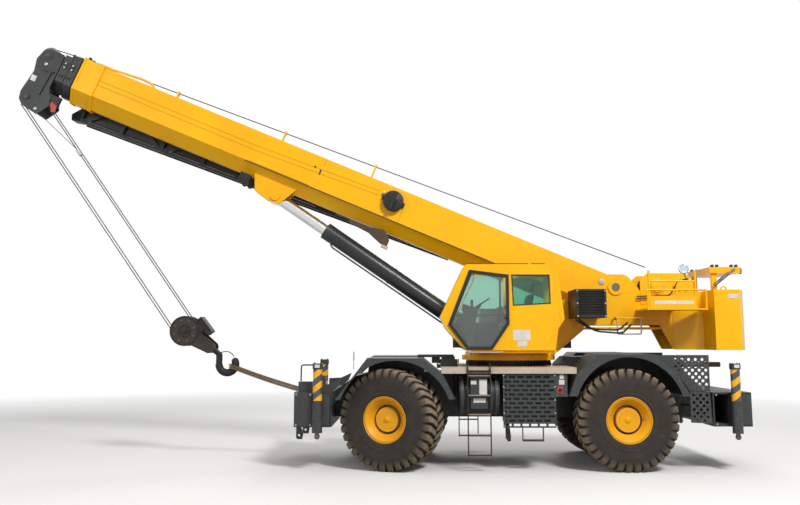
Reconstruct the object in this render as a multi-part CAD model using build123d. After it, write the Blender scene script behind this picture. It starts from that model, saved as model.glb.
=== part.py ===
from build123d import *
from math import atan2, cos, degrees, hypot, pi, radians, sin
import os

# A rough terrain crane, in millimetres. x runs from the nose (-) to the tail (+), y from the crane's left
# side, where the cab is (-), to its right (+), and z up from the floor. The sizes below count x from a point
# near the middle of the wheelbase; everything is moved by origin_shift when it is written, so that the origin
# lies on the floor below the middle of the parked crane.
origin_shift = 2540

# wheels and axles
front_axle_x = -1930
rear_axle_x = 2130
track_half = 1290               # middle of a tyre from the crane's centre line
tyre_radius = 888               # out to the tips of the lugs, and the height of the hub
tyre_width = 750
lug_depth = 48
lug_count = 24                  # on each shoulder
lug_width = 150
lug_slant = 16                  # degrees
rim_flange_radius = 402
rim_width = 660
rim_wall = 36
dish_hole_radius = 254
hub_radius = 226
hub_groove = 112                # how far out the bottom of the gap round the hub lies
hub_bore_radius = 105
kingpin_inset = 255             # kingpin inboard of the middle of the tyre
kingpin_radius = 35
pin_gap = 0.05
fork_radius = 85
fork_reach = 190                # from the axle's centre to the outside of a fork arm
fork_arm = 58
fork_gap = 8
axle_tube_radius = 125
diff_radius = 265
front_steer_rest = -22          # degrees, as parked, seen from above

seat_gap = 0.3                  # between pieces that rest or slide on each other

# carrier
frame_half_width = 480
frame_bottom = 860
frame_top = 1690
axle_notch_z = 1195
axle_notch_half = 430
deck_top = 1800
deck_edge = 108                 # height of the pale strip along the deck
deck_plate = 12
deck_half_width = 1600
deck_x = (-1146, 1238)
bracket_x = (-880, -60, 900)
ladder_x = (-683, -286)
ladder_y = 1630
ladder_top = 1880
ladder_bottom = 280
ladder_rungs = (300, 630, 970, 1300, 1640)
skin = 8                        # sheet thickness of fenders, guards and covers
fender_half_width = 1662
bay_x = (1450, 3300)
bay_half_width = 400
bay_floor = 990

# outriggers
front_box_x = (-3760, -3095)
front_box_z = (755, 1360)
rear_box_x = (3640, 4320)
rear_box_z = (775, 1365)
front_jack_x = -3333            # on the left side; the right one stands the other way in its box
rear_jack_x = 4015
box_wall = 20
beam_wall = 16
box_half_length = 1480
beam_gap = 8
jack_y = box_half_length + 120
jack_radius = 92
jack_upper_radius = 80
jack_sleeve_top = 1215
jack_cap_z = 1870
jack_foot_z = 640
jack_bore_radius = 60
jack_rod_radius = 38
jack_ball_radius = 50
jack_ball_bottom = 556

# slewing and superstructure
slew_x = 200
slew_ring_radius = 820
ring_bottom = 1740
ring_teeth = 90
tooth_depth = 34
pedestal_radius = 780
turntable_z = 1905
side_plate_y = 372              # inner face of each side plate
side_plate = 40
boom_pivot = (2236, 3283)
boom_angle = 22.75              # degrees above level, as parked
pivot_pin_radius = 75
lift_foot = (-300, 2320)        # pin at the bottom of the lift cylinder
lift_eye_along = 6800           # pin at its top, along the boom and square to it
lift_eye_drop = -873
barrel_radius = 165
barrel_bore = 150
lift_rod_radius = 110
lift_rod_shows = 1205           # from the barrel's end to the pin in the eye
piston_from_foot = 935
lift_eye_radius = 165
foot_pin_radius = 62
lug_gap_half = 130              # half the space between the boom's two lugs
boom_lug = 40

# boom, measured along it from its pivot and square to it
boom_half_width = 310
boom_top = 180
boom_side_low = -450
boom_bottom = -700
boom_bottom_half = 90
boom_wall = 12
boom_step = 42                  # each section is smaller than the one round it by this all round
base_rear = -420
base_front = 11440
section_rear = 300
# name, front end of the tube, length of the collar, how far it stands out of the tube
sections = [
    ("boom_inner_mid", 11660, 150, 34),
    ("boom_outer_mid", 11860, 150, 34),
    ("boom_fly", 12060, 150, 34),
]
base_collar = 420
base_collar_rise = 26
head_plate = 30
head_half_width = 262
head_pins = ((12195, -26), (12230, -955))      # upper and lower sheave pins
sheave_radius = 200
rope_radius = 10
rope_start = (-470, 640)        # where the hoist rope leaves the winch, in the boom's own axes
rope_posts = (5200, 7150, 9500)

# stowed jib, beside the boom's right side: from its rear end to its head
jib_y = (362, 830)
jib_span = (3150, 11300)
jib_low = (-654, -974)
jib_high = (-346, -296)
jib_bar = 56
jib_bays = 9
jib_hangers = (4300, 8600)

# hook block and falls
block_centre = (-6080, 2452)
block_end = (-5600, 2140)
block_half = 190
block_sheave_y = (-115, 115)
block_plate_radius = 290
head_sheave_y = (-115, -38, 38, 115)
bowl_centre = (-5264, 1810)
bowl_radius = 162
bowl_thickness = 72
bowl_arc = 200
sling_radius = 22
sling_turn = radians(-26)       # where it bears on the inside of the bowl
sling_lug = (-3850, 133, 1335)  # where a leg of the sling ends, over a lug on the front box

# superstructure pieces
base_disc_radius = 895
base_disc = 90
foot_lug_y = 190
winch_deck_z = 2850
plate_top_z = 3020              # top of the side plates behind the boom's pivot
counterweight_x = (3780, 4390)
counterweight_z = (2100, 3180)

# covers and tanks on the carrier
fuel_tank_x = (-830, -120)
fuel_tank_radius = 318
side_box_x = (-20, 860)
guard_y = 1550
guard_x = (-60, 870)
guard_z = (756, 1680)
rear_guard_y = 1500
guard_hole = 26                 # radius

# cab; outlines are (x, z) seen from the side
cab_left_y = -1455
cab_right_y = -610
cab_wall = 40
cab_floor_z = 2095
door_thickness = 38
door_outline = [(-630, 3540), (87, 3450), (86, 2560), (-226, 2105), (-684, 2105), (-1020, 2550)]
door_window = [(-590, 3480), (40, 3400), (40, 2575), (-250, 2150), (-660, 2150), (-965, 2555)]
rear_window = [(139, 3442), (816, 3442), (825, 2931), (161, 2896)]


def box(x0, x1, y0, y1, z0, z1):
    return Pos((x0 + x1) / 2, (y0 + y1) / 2, (z0 + z1) / 2) * Box(abs(x1 - x0), abs(y1 - y0), abs(z1 - z0))


def side_prism(points, y0, y1):
    # a profile of (x, z) points, seen from the side, between two widths
    face = Face(Wire.make_polygon([Vector(x, y0, z) for x, z in points], close=True))
    return extrude(face, amount=abs(y1 - y0), dir=(0, 1 if y1 > y0 else -1, 0))


def plan_prism(points, z0, z1):
    # a profile of (x, y) points, seen from above, between two heights
    face = Face(Wire.make_polygon([Vector(x, y, z0) for x, y in points], close=True))
    return extrude(face, amount=abs(z1 - z0), dir=(0, 0, 1 if z1 > z0 else -1))


def end_prism(points, x0, x1):
    # a profile of (y, z) points, seen from the front, between two lengths
    face = Face(Wire.make_polygon([Vector(x0, y, z) for y, z in points], close=True))
    return extrude(face, amount=abs(x1 - x0), dir=(1 if x1 > x0 else -1, 0, 0))


def bar_x(x0, x1, y, z, radius):
    return Pos((x0 + x1) / 2, y, z) * Rot(0, 90, 0) * Cylinder(radius, abs(x1 - x0))


def bar_y(x, y0, y1, z, radius):
    return Pos(x, (y0 + y1) / 2, z) * Rot(90, 0, 0) * Cylinder(radius, abs(y1 - y0))


def bar_z(x, y, z0, z1, radius):
    return Pos(x, y, (z0 + z1) / 2) * Cylinder(radius, abs(z1 - z0))


def bar(a, b, radius):
    # a round bar between two points
    run = Vector(*b) - Vector(*a)
    return Plane(origin=a, z_dir=run).location * Cylinder(radius, run.length, align=(Align.CENTER,) * 2 + (Align.MIN,))


def tube_path(points, radius, bend):
    # a round tube along straight runs joined by arcs
    path = FilletPolyline(*[Vector(*p) for p in points], radius=bend)
    start = Plane(origin=path @ 0, z_dir=path % 0)
    return sweep(start * Circle(radius), path=path)


def spun(points, centre, y_sign):
    # a ring or drum: (distance outboard, radius) points turned about the wheel's axle
    face = Face(Wire.make_polygon([Vector(0, v * y_sign, r) for v, r in points], close=True))
    return Pos(*centre) * revolve(face, axis=Axis((0, 0, 0), (0, 1, 0)), revolution_arc=360)


def mirrored(shape):
    return mirror(shape, about=Plane.XZ)


def inset(points, gap):
    # a closed outline moved in by a gap all round
    following = points[1:] + points[:1]
    turn = 1 if sum(a[0] * b[1] - b[0] * a[1] for a, b in zip(points, following)) > 0 else -1
    moved = []
    for before, point, after in zip(points[-1:] + points[:-1], points, following):
        nx = nz = 0
        for a, b in ((before, point), (point, after)):
            length = hypot(b[0] - a[0], b[1] - a[1])
            nx -= turn * (b[1] - a[1]) / length
            nz += turn * (b[0] - a[0]) / length
        stretch = 2 * gap / (nx * nx + nz * nz)
        moved.append((point[0] + nx * stretch, point[1] + nz * stretch))
    return moved


def write(node, *solids):
    placed = []
    for solid in solids:
        placed += (Pos(origin_shift, 0, 0) * solid).solids()
    os.makedirs("parts", exist_ok=True)
    export_step(placed[0] if len(placed) == 1 else Compound(placed), f"parts/{node}.step")


# wheels

def tyre():
    # the carcass, from bead to bead, with lugs that run from each shoulder to the middle of the tread
    half = tyre_width / 2
    tread = tyre_radius - lug_depth
    bead, foot = rim_width / 2 - 30, rim_flange_radius - 47
    outboard = [(half - 95, tread), (half - 30, tread - 60), (half - 8, 600), (half - 40, rim_flange_radius + 60),
                (bead + 4, rim_flange_radius + 10), (bead, foot)]
    outline = [(-v, r) for v, r in reversed(outboard)] + outboard
    solid = spun(outline, (0, 0, 0), 1)
    lug_profile = [(22, tread - 14), (22, tyre_radius - 3), (half - 105, tyre_radius - 3),
                   (half - 12, tyre_radius - 62), (half - 2, tyre_radius - 150), (half - 45, tyre_radius - 165)]
    lugs = []
    for side in (-1, 1):
        face = Face(Wire.make_polygon([Vector(-lug_width / 2, v * side, r) for v, r in lug_profile], close=True))
        lug = extrude(face, amount=lug_width, dir=(1, 0, 0))
        middle = side * half * 0.55
        lug = Pos(0, middle, 0) * Rot(0, 0, side * lug_slant) * Pos(0, -middle, 0) * lug
        for i in range(lug_count):
            turn = 360 / lug_count * (i + (0.5 if side > 0 else 0))
            lugs.append(Rot(0, turn, 0) * lug)
    return solid.fuse(*lugs)


def rim():
    # rim, dish, planetary hub and its cover, in one turned piece, outboard side at positive distance
    half = rim_width / 2
    well = rim_flange_radius - 50
    outline = [(-half, well - rim_wall), (-half, rim_flange_radius), (-half + 22, rim_flange_radius),
               (-half + 30, well), (half - 30, well), (half - 22, rim_flange_radius), (half, rim_flange_radius),
               (half, rim_flange_radius - 34), (half - 60, well - 40), (205, dish_hole_radius + 14),
               (196, dish_hole_radius), (172, dish_hole_radius), (hub_groove, dish_hole_radius),
               (hub_groove, hub_radius), (214, hub_radius), (224, hub_radius - 14), (224, 52), (236, 46), (236, 0),
               (112, 0), (112, hub_bore_radius), (-108, hub_bore_radius), (-108, 150), (60, 190),
               (118, well - rim_wall), (-half + 30, well - rim_wall - 6)]
    return outline


# The knuckle is drawn in its own frame, with the kingpin at y = 0 and outboard towards +y.
def knuckle():
    flange_y = fork_radius + 10
    spindle_end = kingpin_inset + 107
    arm_z = fork_reach - fork_arm
    drum = bar_z(0, 0, -arm_z + fork_gap, arm_z - fork_gap, fork_radius - 6)
    neck = box(-72, 72, 0, flange_y + 10, -arm_z + fork_gap + 4, arm_z - fork_gap - 4)
    flange = bar_y(0, flange_y, flange_y + 30, 0, 165)
    spindle = bar_y(0, flange_y + 20, spindle_end, 0, hub_bore_radius - pin_gap)
    pins = bar_z(0, 0, -fork_reach - 12, fork_reach + 12, kingpin_radius)
    arm = box(0, 215, -34, 34, -fork_gap - 92, -fork_gap - 52) + bar_z(215, 0, -fork_gap - 92, -fork_gap - 52, 45)
    return drum + neck + flange + spindle + pins + arm


def axle(x, pad_z):
    # a tube with a differential, a fork at each end for the kingpins, and pads up to the frame
    z = tyre_radius
    kingpin_y = track_half - kingpin_inset
    fork_y = kingpin_y - fork_radius - 12
    solid = bar_y(x, -fork_y, fork_y, z, axle_tube_radius)
    solid += Pos(x, 0, z) * Sphere(diff_radius)
    solid += bar_x(x - 330, x + 330, 0, z, 120)
    for side in (-1, 1):
        back = box(x - 85, x + 85, side * (fork_y - 60), side * fork_y, z - fork_reach, z + fork_reach)
        solid += back
        for end in (-1, 1):
            z0, z1 = z + end * fork_reach, z + end * (fork_reach - fork_arm)
            arm = box(x - fork_radius, x + fork_radius, side * (fork_y - 10), side * kingpin_y, z0, z1)
            arm += bar_z(x, side * kingpin_y, z0, z1, fork_radius)
            solid += arm - bar_z(x, side * kingpin_y, z0 - end * -40, z1 - end * 40, kingpin_radius + pin_gap)
        solid += box(x - 150, x + 150, side * 300, side * 420, z, pad_z)
    # twin steering rams along the tube
    for end in (-1, 1):
        solid += bar_y(x + end * 205, -430, 430, z - 60, 55)
        solid += bar_y(x + end * 205, -690, 690, z - 60, 28)
        for side in (-1, 1):
            solid += box(x + end * 90, x + end * 205, side * 300, side * 340, z - 100, z - 20)
    return solid


def place_corner(node_tail, axle_x, side, steer):
    # side -1 is the crane's left
    kingpin = (axle_x, side * (track_half - kingpin_inset), tyre_radius)
    turn = Rot(0, 0, steer)
    knuckle_solid = knuckle() if side > 0 else mirrored(knuckle())
    write(f"knuckle_{node_tail}", Pos(*kingpin) * turn * knuckle_solid)
    offset = Pos(0, side * kingpin_inset, 0)
    write(f"tyre_{node_tail}", Pos(*kingpin) * turn * offset * (tyre_solid if side > 0 else mirrored(tyre_solid)))
    write(f"rim_{node_tail}", Pos(*kingpin) * turn * offset * spun(rim(), (0, 0, 0), side))


# carrier

def strip(points, thickness):
    # the outline of a sheet bent along points, with its thickness to the right of the way they run
    inner = []
    for i, (x, z) in enumerate(points):
        normals = []
        for a, b in ((i - 1, i), (i, i + 1)):
            if a >= 0 and b < len(points):
                dx, dz = points[b][0] - points[a][0], points[b][1] - points[a][1]
                normals.append((dz / hypot(dx, dz), -dx / hypot(dx, dz)))
        nx, nz = sum(n[0] for n in normals), sum(n[1] for n in normals)
        stretch = thickness * 2 / (nx * nx + nz * nz) if len(normals) == 2 else thickness
        inner.append((x + nx * stretch, z + nz * stretch))
    return list(points) + inner[::-1]


def chassis_frame():
    low, notch = frame_bottom, axle_notch_z
    outline = [(front_box_x[1], low), (front_box_x[1], 1350), (-2750, 1600), (-2400, frame_top),
               (3400, frame_top), (rear_box_x[0], 1370), (rear_box_x[0], low)]
    for axle_x in (rear_axle_x, front_axle_x):
        outline += [(axle_x + axle_notch_half + 70, low), (axle_x + axle_notch_half, notch),
                    (axle_x - axle_notch_half, notch), (axle_x - axle_notch_half - 70, low)]
    solid = side_prism(outline, -frame_half_width, frame_half_width)
    solid -= box(bay_x[0], bay_x[1], -bay_half_width, bay_half_width, bay_floor, frame_top + 1)
    solid += bar_z(slew_x, 0, frame_top - 300, ring_bottom, pedestal_radius)
    # brackets under the decks between the wheels
    for x in bracket_x:
        for side in (-1, 1):
            points = [(side * (frame_half_width - 10), 1250), (side * 940, 1560), (side * 940, deck_top - deck_plate),
                      (side * (frame_half_width - 10), deck_top - deck_plate)]
            solid += end_prism(points, x, x + 40)
    return solid - bar_z(slew_x, 0, ring_bottom, deck_top + 1, slew_ring_radius + 20)


def fender(outer, arch, side):
    # a bent sheet over the wheel, a skirt outside with a round arch, and an inner wall on the frame
    arch_x, arch_z, arch_radius = arch
    y_out = side * fender_half_width
    y_in = side * frame_half_width
    solid = side_prism(strip(outer, skin), y_in, y_out)
    skirt = side_prism(outer, y_out - side * skin, y_out)
    solid += skirt - bar_y(arch_x, y_out - side * 2 * skin, y_out + side * skin, arch_z, arch_radius)
    top = max(z for x, z in outer)
    flat = [x for x, z in outer if z == top]
    wall = [(flat[0], top), (flat[-1], top), (flat[-1] + 60, frame_top - 180), (flat[0] - 60, frame_top - 180)]
    solid += side_prism(wall, y_in, y_in + side * skin)
    return solid


def outrigger_box(x_range, z_range):
    # two channels side by side, one for each beam, with wear pads near the mouths
    x0, x1 = x_range
    z0, z1 = z_range
    solid = box(x0, x1, -box_half_length, box_half_length, z0, z1)
    for channel in channels(x_range):
        solid -= box(channel[0], channel[1], -box_half_length - 1, box_half_length + 1, z0 + box_wall, z1 - box_wall)
        pad = beam_gap - seat_gap
        for side in (-1, 1):
            y0, y1 = side * (box_half_length - 120), side * (box_half_length - 10)
            solid += box(channel[0], channel[1], y0, y1, z0 + box_wall, z0 + box_wall + pad)
            solid += box(channel[0], channel[1], y0, y1, z1 - box_wall - pad, z1 - box_wall)
    return solid


def front_box_extras(x_range, z_range):
    # hose boxes on top, plates that slope up to the fenders, and two hangers with feet for towing
    x0, x1 = x_range
    top = z_range[1]
    solid = None
    for side in (-1, 1):
        y = side * box_half_length
        wing = side_prism([(x0 + 360, top - 1), (x0 + 360, top + 130), (x1 - 55, top + 140), (x1 + 165, top + 240),
                           (x1 + 105, top + 90), (x1, top - 1)], y - side * 110, y - side * 98)
        hose_box = box(x0 + 60, x0 + 300, y - side * 280, y - side * 100, top - 1, top + 180)
        hanger = side_prism([(x0 + 1, 1075), (x0 - 70, 1040), (x0 - 70, 470), (x0 - 40, 450), (x0 + 40, 450),
                             (x0 + 60, 560), (x0 + 1, 700)], side * 480, side * 560)
        hanger -= bar_y(x0 - 20, side * 470, side * 570, 520, 24)
        for piece in (wing, hose_box, hanger):
            solid = piece if solid is None else solid + piece
    return solid


def channels(x_range):
    x0, x1 = x_range
    middle = (x0 + x1) / 2
    return ((x0 + box_wall, middle - box_wall / 2), (middle + box_wall / 2, x1 - box_wall))


def beam(x_range, z_range, channel, jack_x, side):
    # a hollow beam that reaches across the machine, with the jack's tube on its outer end
    x0, x1 = channel[0] + beam_gap, channel[1] - beam_gap
    z0, z1 = z_range[0] + box_wall + beam_gap, z_range[1] - box_wall - beam_gap
    y_tip, y_root = side * (box_half_length + 25), -side * (box_half_length - 60)
    solid = box(x0, x1, y_root, y_tip, z0, z1)
    solid -= box(x0 + beam_wall, x1 - beam_wall, y_root - side, y_tip - side * 30, z0 + beam_wall, z1 - beam_wall)
    y = side * jack_y
    solid += box(min(x0, jack_x - 60), max(x1, jack_x + 60), y_tip, y_tip + side * 25, z0, z1)
    for z in (z0, z1 - 60):
        solid += box(jack_x - 85, jack_x + 85, side * (box_half_length + 40), y, z, z + 60)
    solid += bar_z(jack_x, y, jack_foot_z + 30, jack_sleeve_top, jack_radius)
    solid += bar_z(jack_x, y, jack_sleeve_top - 1, jack_cap_z - 90, jack_upper_radius)
    cap = bar_z(jack_x, y, jack_cap_z - 100, jack_cap_z, jack_radius)
    solid += fillet(cap.edges().filter_by(GeomType.CIRCLE).group_by(Axis.Z)[-1], 12)
    for turn in (45, 135, 225, 315):
        x, out = jack_x + 88 * cos(radians(turn)), y + 88 * sin(radians(turn))
        solid += bar_z(x, out, jack_cap_z - 94, jack_cap_z - 12, 16)
    solid -= bar_z(jack_x, y, jack_foot_z, jack_cap_z - 30, jack_bore_radius)
    solid += bar_z(jack_x, y, jack_foot_z + 30, jack_foot_z + 90, jack_radius - 4) - bar_z(
        jack_x, y, jack_foot_z, jack_foot_z + 100, jack_rod_radius + pin_gap)
    return solid


def jack_rod(jack_x, side):
    ball_z = jack_ball_bottom + jack_ball_radius
    solid = bar_z(jack_x, side * jack_y, ball_z + 20, jack_cap_z - 120, jack_rod_radius)
    return solid + Pos(jack_x, side * jack_y, ball_z) * Sphere(jack_ball_radius)


def ladder(side):
    x0, x1 = ladder_x
    y = side * ladder_y
    solid = None
    for x in (x0, x1):
        rail = box(x - 10, x + 10, y - 20, y + 20, ladder_bottom, ladder_top)
        solid = rail if solid is None else solid + rail
    for z in ladder_rungs:
        solid += box(x0, x1, y - 30, y + 30, z - 12, z + 12)
    # held by the edge of the deck
    solid += box(x0 - 10, x1 + 10, side * (deck_half_width + seat_gap), y, deck_top - 90, deck_top - 50)
    return solid


def deck(side):
    edge = side * deck_half_width
    plate = box(deck_x[0], deck_x[1], side * frame_half_width, edge, deck_top - deck_plate, deck_top)
    plate -= bar_z(slew_x, 0, deck_top - 50, deck_top + 1, slew_ring_radius + 30)
    return plate + box(deck_x[0], deck_x[1], edge - side * 30, edge, deck_top - deck_edge, deck_top)


def slew_ring():
    points = []
    for i in range(ring_teeth):
        for share, radius in ((0, slew_ring_radius - tooth_depth), (0.12, slew_ring_radius), (0.5, slew_ring_radius),
                              (0.62, slew_ring_radius - tooth_depth)):
            turn = 2 * pi * (i + share) / ring_teeth
            points.append((slew_x + radius * cos(turn), radius * sin(turn)))
    ring = plan_prism(points, ring_bottom, turntable_z - 30)
    ring += bar_z(slew_x, 0, turntable_z - 31, turntable_z - seat_gap, slew_ring_radius - 10)
    ring -= bar_z(slew_x, 0, ring_bottom - 1, turntable_z, slew_ring_radius - 160)
    return ring


write("chassis_frame", chassis_frame())
write("front_axle", axle(front_axle_x, axle_notch_z))
write("rear_axle", axle(rear_axle_x, axle_notch_z))
tyre_solid = tyre()
for tail, axle_x, side, steer in [("fl", front_axle_x, -1, front_steer_rest), ("fr", front_axle_x, 1, front_steer_rest),
                                  ("rl", rear_axle_x, -1, 0), ("rr", rear_axle_x, 1, 0)]:
    place_corner(tail, axle_x, side, steer)
# name, outline of the bent sheet from the front, centre and radius of the arch
fenders = [
    ("front", [(-3020, 1240), (-2460, 1960), (-1470, 1960), (-1107, 1655), (-904, 1250)], (-1970, 907, 1010)),
    ("rear", [(1090, 1305), (1230, 1680), (1610, 2030), (2610, 2030), (2970, 1730), (3210, 1305)], (2154, 1020, 960)),
]
for side, tail in ((-1, "left"), (1, "right")):
    write(f"fenders_{tail}", *[fender(outer, arch, side) for name, outer, arch in fenders])
write("decks", deck(-1), deck(1))
write("ladders", ladder(-1), ladder(1))
# name, box along x, box in height, jack on the left side, channel of the left beam
outriggers = [
    ("front", front_box_x, front_box_z, front_jack_x, 1),
    ("rear", rear_box_x, rear_box_z, rear_jack_x, 1),
]
for name, x_range, z_range, left_jack, left_channel in outriggers:
    solid = outrigger_box(x_range, z_range)
    if name == "front":
        solid += front_box_extras(x_range, z_range)
        lx, ly, lz = sling_lug
        for side in (-1, 1):
            solid += box(lx - 30, x_range[0] + 1, side * (ly - 14), side * (ly + 14), lz - 90,
                         lz - sling_radius - seat_gap)
    write(f"outrigger_box_{name}", solid)
    for side, tail in ((-1, "left"), (1, "right")):
        jack_x = left_jack if side < 0 else x_range[0] + x_range[1] - left_jack
        channel = channels(x_range)[left_channel if side < 0 else 1 - left_channel]
        write(f"beam_{name}_{tail}", beam(x_range, z_range, channel, jack_x, side))
        write(f"jack_rod_{name}_{tail}", jack_rod(jack_x, side))
write("slew_ring", slew_ring())


# covers, tanks and guards on the carrier

def engine_hood():
    profile = [(1130, frame_top), (1130, 1830), (1270, 1965), (3010, 1965), (3060, 1900), (3060, frame_top)]
    half = frame_half_width - 12
    solid = side_prism(profile, -half, half)
    inner = [(x + (skin if x < 2000 else -skin), z - (skin if z > frame_top else 0)) for x, z in profile]
    inner = [(x, z - 1 if z == frame_top else z) for x, z in inner]
    return solid - side_prism(inner, -half + skin, half - skin)


def engine_block():
    solid = box(1560, 2760, -300, 300, bay_floor + 330, 1880)
    for x in (1640, 2620):
        for side in (-1, 1):
            solid += box(x - 60, x + 60, side * 180, side * 280, bay_floor + seat_gap, bay_floor + 331)
    return solid


def radiator():
    # the cooler stands at the tail of the engine bay, with a slatted face to the rear
    solid = box(3110, 3390, -440, 440, frame_top, 1880)
    for z in range(1720, 1860, 35):
        solid -= box(3370, 3391, -400, 400, z, z + 18)
    exhaust = tube_path([(3250, -439, 1835), (3250, -900, 1835), (3985, -900, 1835)], 45, 90)
    return solid + exhaust


def fuel_tank():
    z, y = 1300, -1265
    solid = bar_x(fuel_tank_x[0], fuel_tank_x[1], y, z, fuel_tank_radius - 12)
    for x in (fuel_tank_x[0], fuel_tank_x[1] - 24):
        solid += bar_x(x, x + 24, y, z, fuel_tank_radius)
    solid = fillet(solid.edges().filter_by(GeomType.CIRCLE).group_by(Axis.X)[0], 8)
    # two straps' brackets back to the frame
    for x in (-700, -290):
        solid += box(x, x + 60, -980, -frame_half_width, z - 60, z + 60)
    return solid


def hydraulic_tank():
    solid = box(-850, -90, 960, 1600, 930, 1640)
    solid = fillet(solid.edges().filter_by(Axis.X), 60)
    solid += bar_z(-250, 1300, 1640, 1670, 70)
    return solid + box(-700, -240, frame_half_width, 961, 1100, 1200)


def deck_blocks():
    # valve block and folded hoses on the deck ahead of the turntable
    solid = box(-1140, -830, -1080, -700, deck_top + seat_gap, 1930)
    solid += box(-1560, -900, -1020, -760, 1966, 2014) + box(-1120, -880, -1040, -780, 1929, 1980)
    solid += box(-1300, -1150, -960, -820, deck_top + 60, 1967)
    return solid + box(-1301, -1100, -940, -840, deck_top + 60, deck_top + 120)


def side_boxes():
    # battery and valve boxes: behind the slotted guard on the left, open to the right
    solids = []
    for side in (-1, 1):
        solid = box(side_box_x[0], side_box_x[1], side * 960, side * (guard_y - 60), 830, 1640)
        solid += box(100, 700, side * frame_half_width, side * 961, 1050, 1250)
        if side < 0:
            # a hinged tow link that hangs below it
            solid += side_prism([(-15, 831), (-10, 560), (30, 505), (75, 520), (80, 600), (50, 831)], -1440, -1380)
        solids.append(solid)
    return solids


def slotted_guard():
    x0, x1 = guard_x
    z0, z1 = guard_z
    y = -guard_y
    sheet = box(x0, x1, y, y + skin, z0, z1)
    rows, pitch_x, pitch_z, slot_x, slot_z = 12, 152, 75, 112, 40
    for row in range(rows):
        z = z0 + 48 + row * pitch_z
        shift = 0 if row % 2 else pitch_x / 2
        for i in range(6):
            a = max(x0 + 26, x0 + 30 + i * pitch_x + shift - pitch_x / 2)
            b = min(x1 - 26, x0 + 30 + i * pitch_x + shift - pitch_x / 2 + slot_x)
            if b - a > 30:
                sheet -= box(a, b, y - 1, y + skin + 1, z - slot_z / 2, z + slot_z / 2)
    # flanges back to the boxes, and the plain panel beside it
    for z in (z0, z1 - skin):
        sheet += box(x0, x1, y, y + 60 - seat_gap, z, z + skin)
    panel = box(x1 + 4, 1078, y, y + skin, 1290, z1)
    panel += box(x1 - 40, x1 + 60, y + skin, y + 60 - seat_gap, 1400, 1440)
    step = box(280, 650, y + 20, y + 150, 520, 545)
    for x in (280, 642):
        step += box(x, x + 8, y + 20, y + 150, 520, z0)
    return [sheet + panel + step]


def guard_holes(outline):
    # rows of holes, each row shifted by half a step, that keep clear of the panel's edges
    places = []
    for row in range(12):
        z = outline[2][1] + 55 + 62 * row
        for i in range(14):
            x = 2650 + 118 * i + (59 if row % 2 else 0)
            inside = True
            for a, b in zip(outline, outline[1:] + outline[:1]):
                run = hypot(b[0] - a[0], b[1] - a[1])
                off = ((b[0] - a[0]) * (a[1] - z) - (a[0] - x) * (b[1] - a[1])) / run
                inside = inside and off > guard_hole + 14
            if inside:
                places.append((x, z))
    return places


def rear_guards():
    # perforated panels behind the rear wheels
    solids = []
    upper = [(2640, 2016), (3595, 2016), (3595, 1387), (3236, 1387), (2990, 1752)]
    lower = [(3236, 1380), (3590, 1380), (3606, 828), (3236, 844)]
    for side in (-1, 1):
        y = side * rear_guard_y
        for outline, (arm_x, arm_z) in ((upper, (3350, 1500)), (lower, (3400, 1100))):
            panel = side_prism(outline, y, y + side * skin)
            for x, z in guard_holes(outline):
                panel -= bar_y(x, y - side, y + side * (skin + 1), z, guard_hole)
            solids.append(panel + bar_y(arm_x, side * (frame_half_width + seat_gap), y + side, arm_z, 25))
    return solids


# superstructure

def turntable():
    disc = bar_z(slew_x, 0, turntable_z, turntable_z + base_disc, base_disc_radius)
    solid = disc + bar_z(slew_x, 0, turntable_z + base_disc - 1, turntable_z + base_disc + 60, base_disc_radius - 60)
    # side plates, with the boom's pivot near their tops
    outline = [(-560, 1990), (-560, 2120), (-480, 2300), (200, 2560), (1050, 2930), (1640, 3270), (2030, 3490),
               (2110, 3525), (2380, 3525), (2470, 3490), (2660, 3270), (2800, plate_top_z), (3700, plate_top_z),
               (3700, 2110), (3280, 2110), (3050, 2560), (1650, 2560), (960, 1990)]
    px, pz = boom_pivot
    for side in (-1, 1):
        cheek = side_prism(outline, side * side_plate_y, side * (side_plate_y + side_plate))
        cheek += bar_y(px, side * side_plate_y, side * (side_plate_y + side_plate + 30), pz, 150)
        cheek -= bar_y(px, side * (side_plate_y - 1), side * (side_plate_y + side_plate + 31), pz, pivot_pin_radius + pin_gap)
        solid += cheek
    # web between the plates, behind the cylinder, and lugs for its foot
    solid += side_prism([(880, 2000), (1040, 2000), (1620, 2480), (3690, 2480), (3690, 2520), (1600, 2520)],
                        -side_plate_y - 1, side_plate_y + 1)
    ax, az = lift_foot
    for side in (-1, 1):
        lug = side_prism([(ax - 260, 1990), (ax - 120, az + 60), (ax + 120, az + 60), (ax + 420, 1990)],
                         side * foot_lug_y, side * (foot_lug_y + side_plate))
        lug += bar_y(ax, side * foot_lug_y, side * (foot_lug_y + side_plate), az, 130)
        solid += lug - bar_y(ax, side * (foot_lug_y - 1), side * (foot_lug_y + side_plate + 1), az, foot_pin_radius + pin_gap)
    return solid + cab_platform()


def cab_platform():
    # carries the cab beside the left plate
    return box(-600, 930, cab_left_y + 40, -side_plate_y, turntable_z + base_disc + 55, cab_floor_z - seat_gap)


def cab_outline():
    return [(-706, 2095), (-1060, 2500), (-1150, 2700), (-718, 3610), (-660, 3640), (800, 3640), (905, 3590),
            (976, 3480), (1078, 2656), (960, 2480), (900, 2095)]


def cab_windows():
    # outline, and the two faces of the wall each is cut through
    left = (cab_left_y - 1, cab_left_y + cab_wall + 1)
    right = (cab_right_y - cab_wall - 1, cab_right_y + 1)
    front_right = [(-640, 3480), (60, 3480), (60, 2500), (-300, 2330), (-700, 2330), (-980, 2600)]
    return [(door_window, *left), (rear_window, *left), (front_right, *right), (rear_window, *right)]


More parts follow.
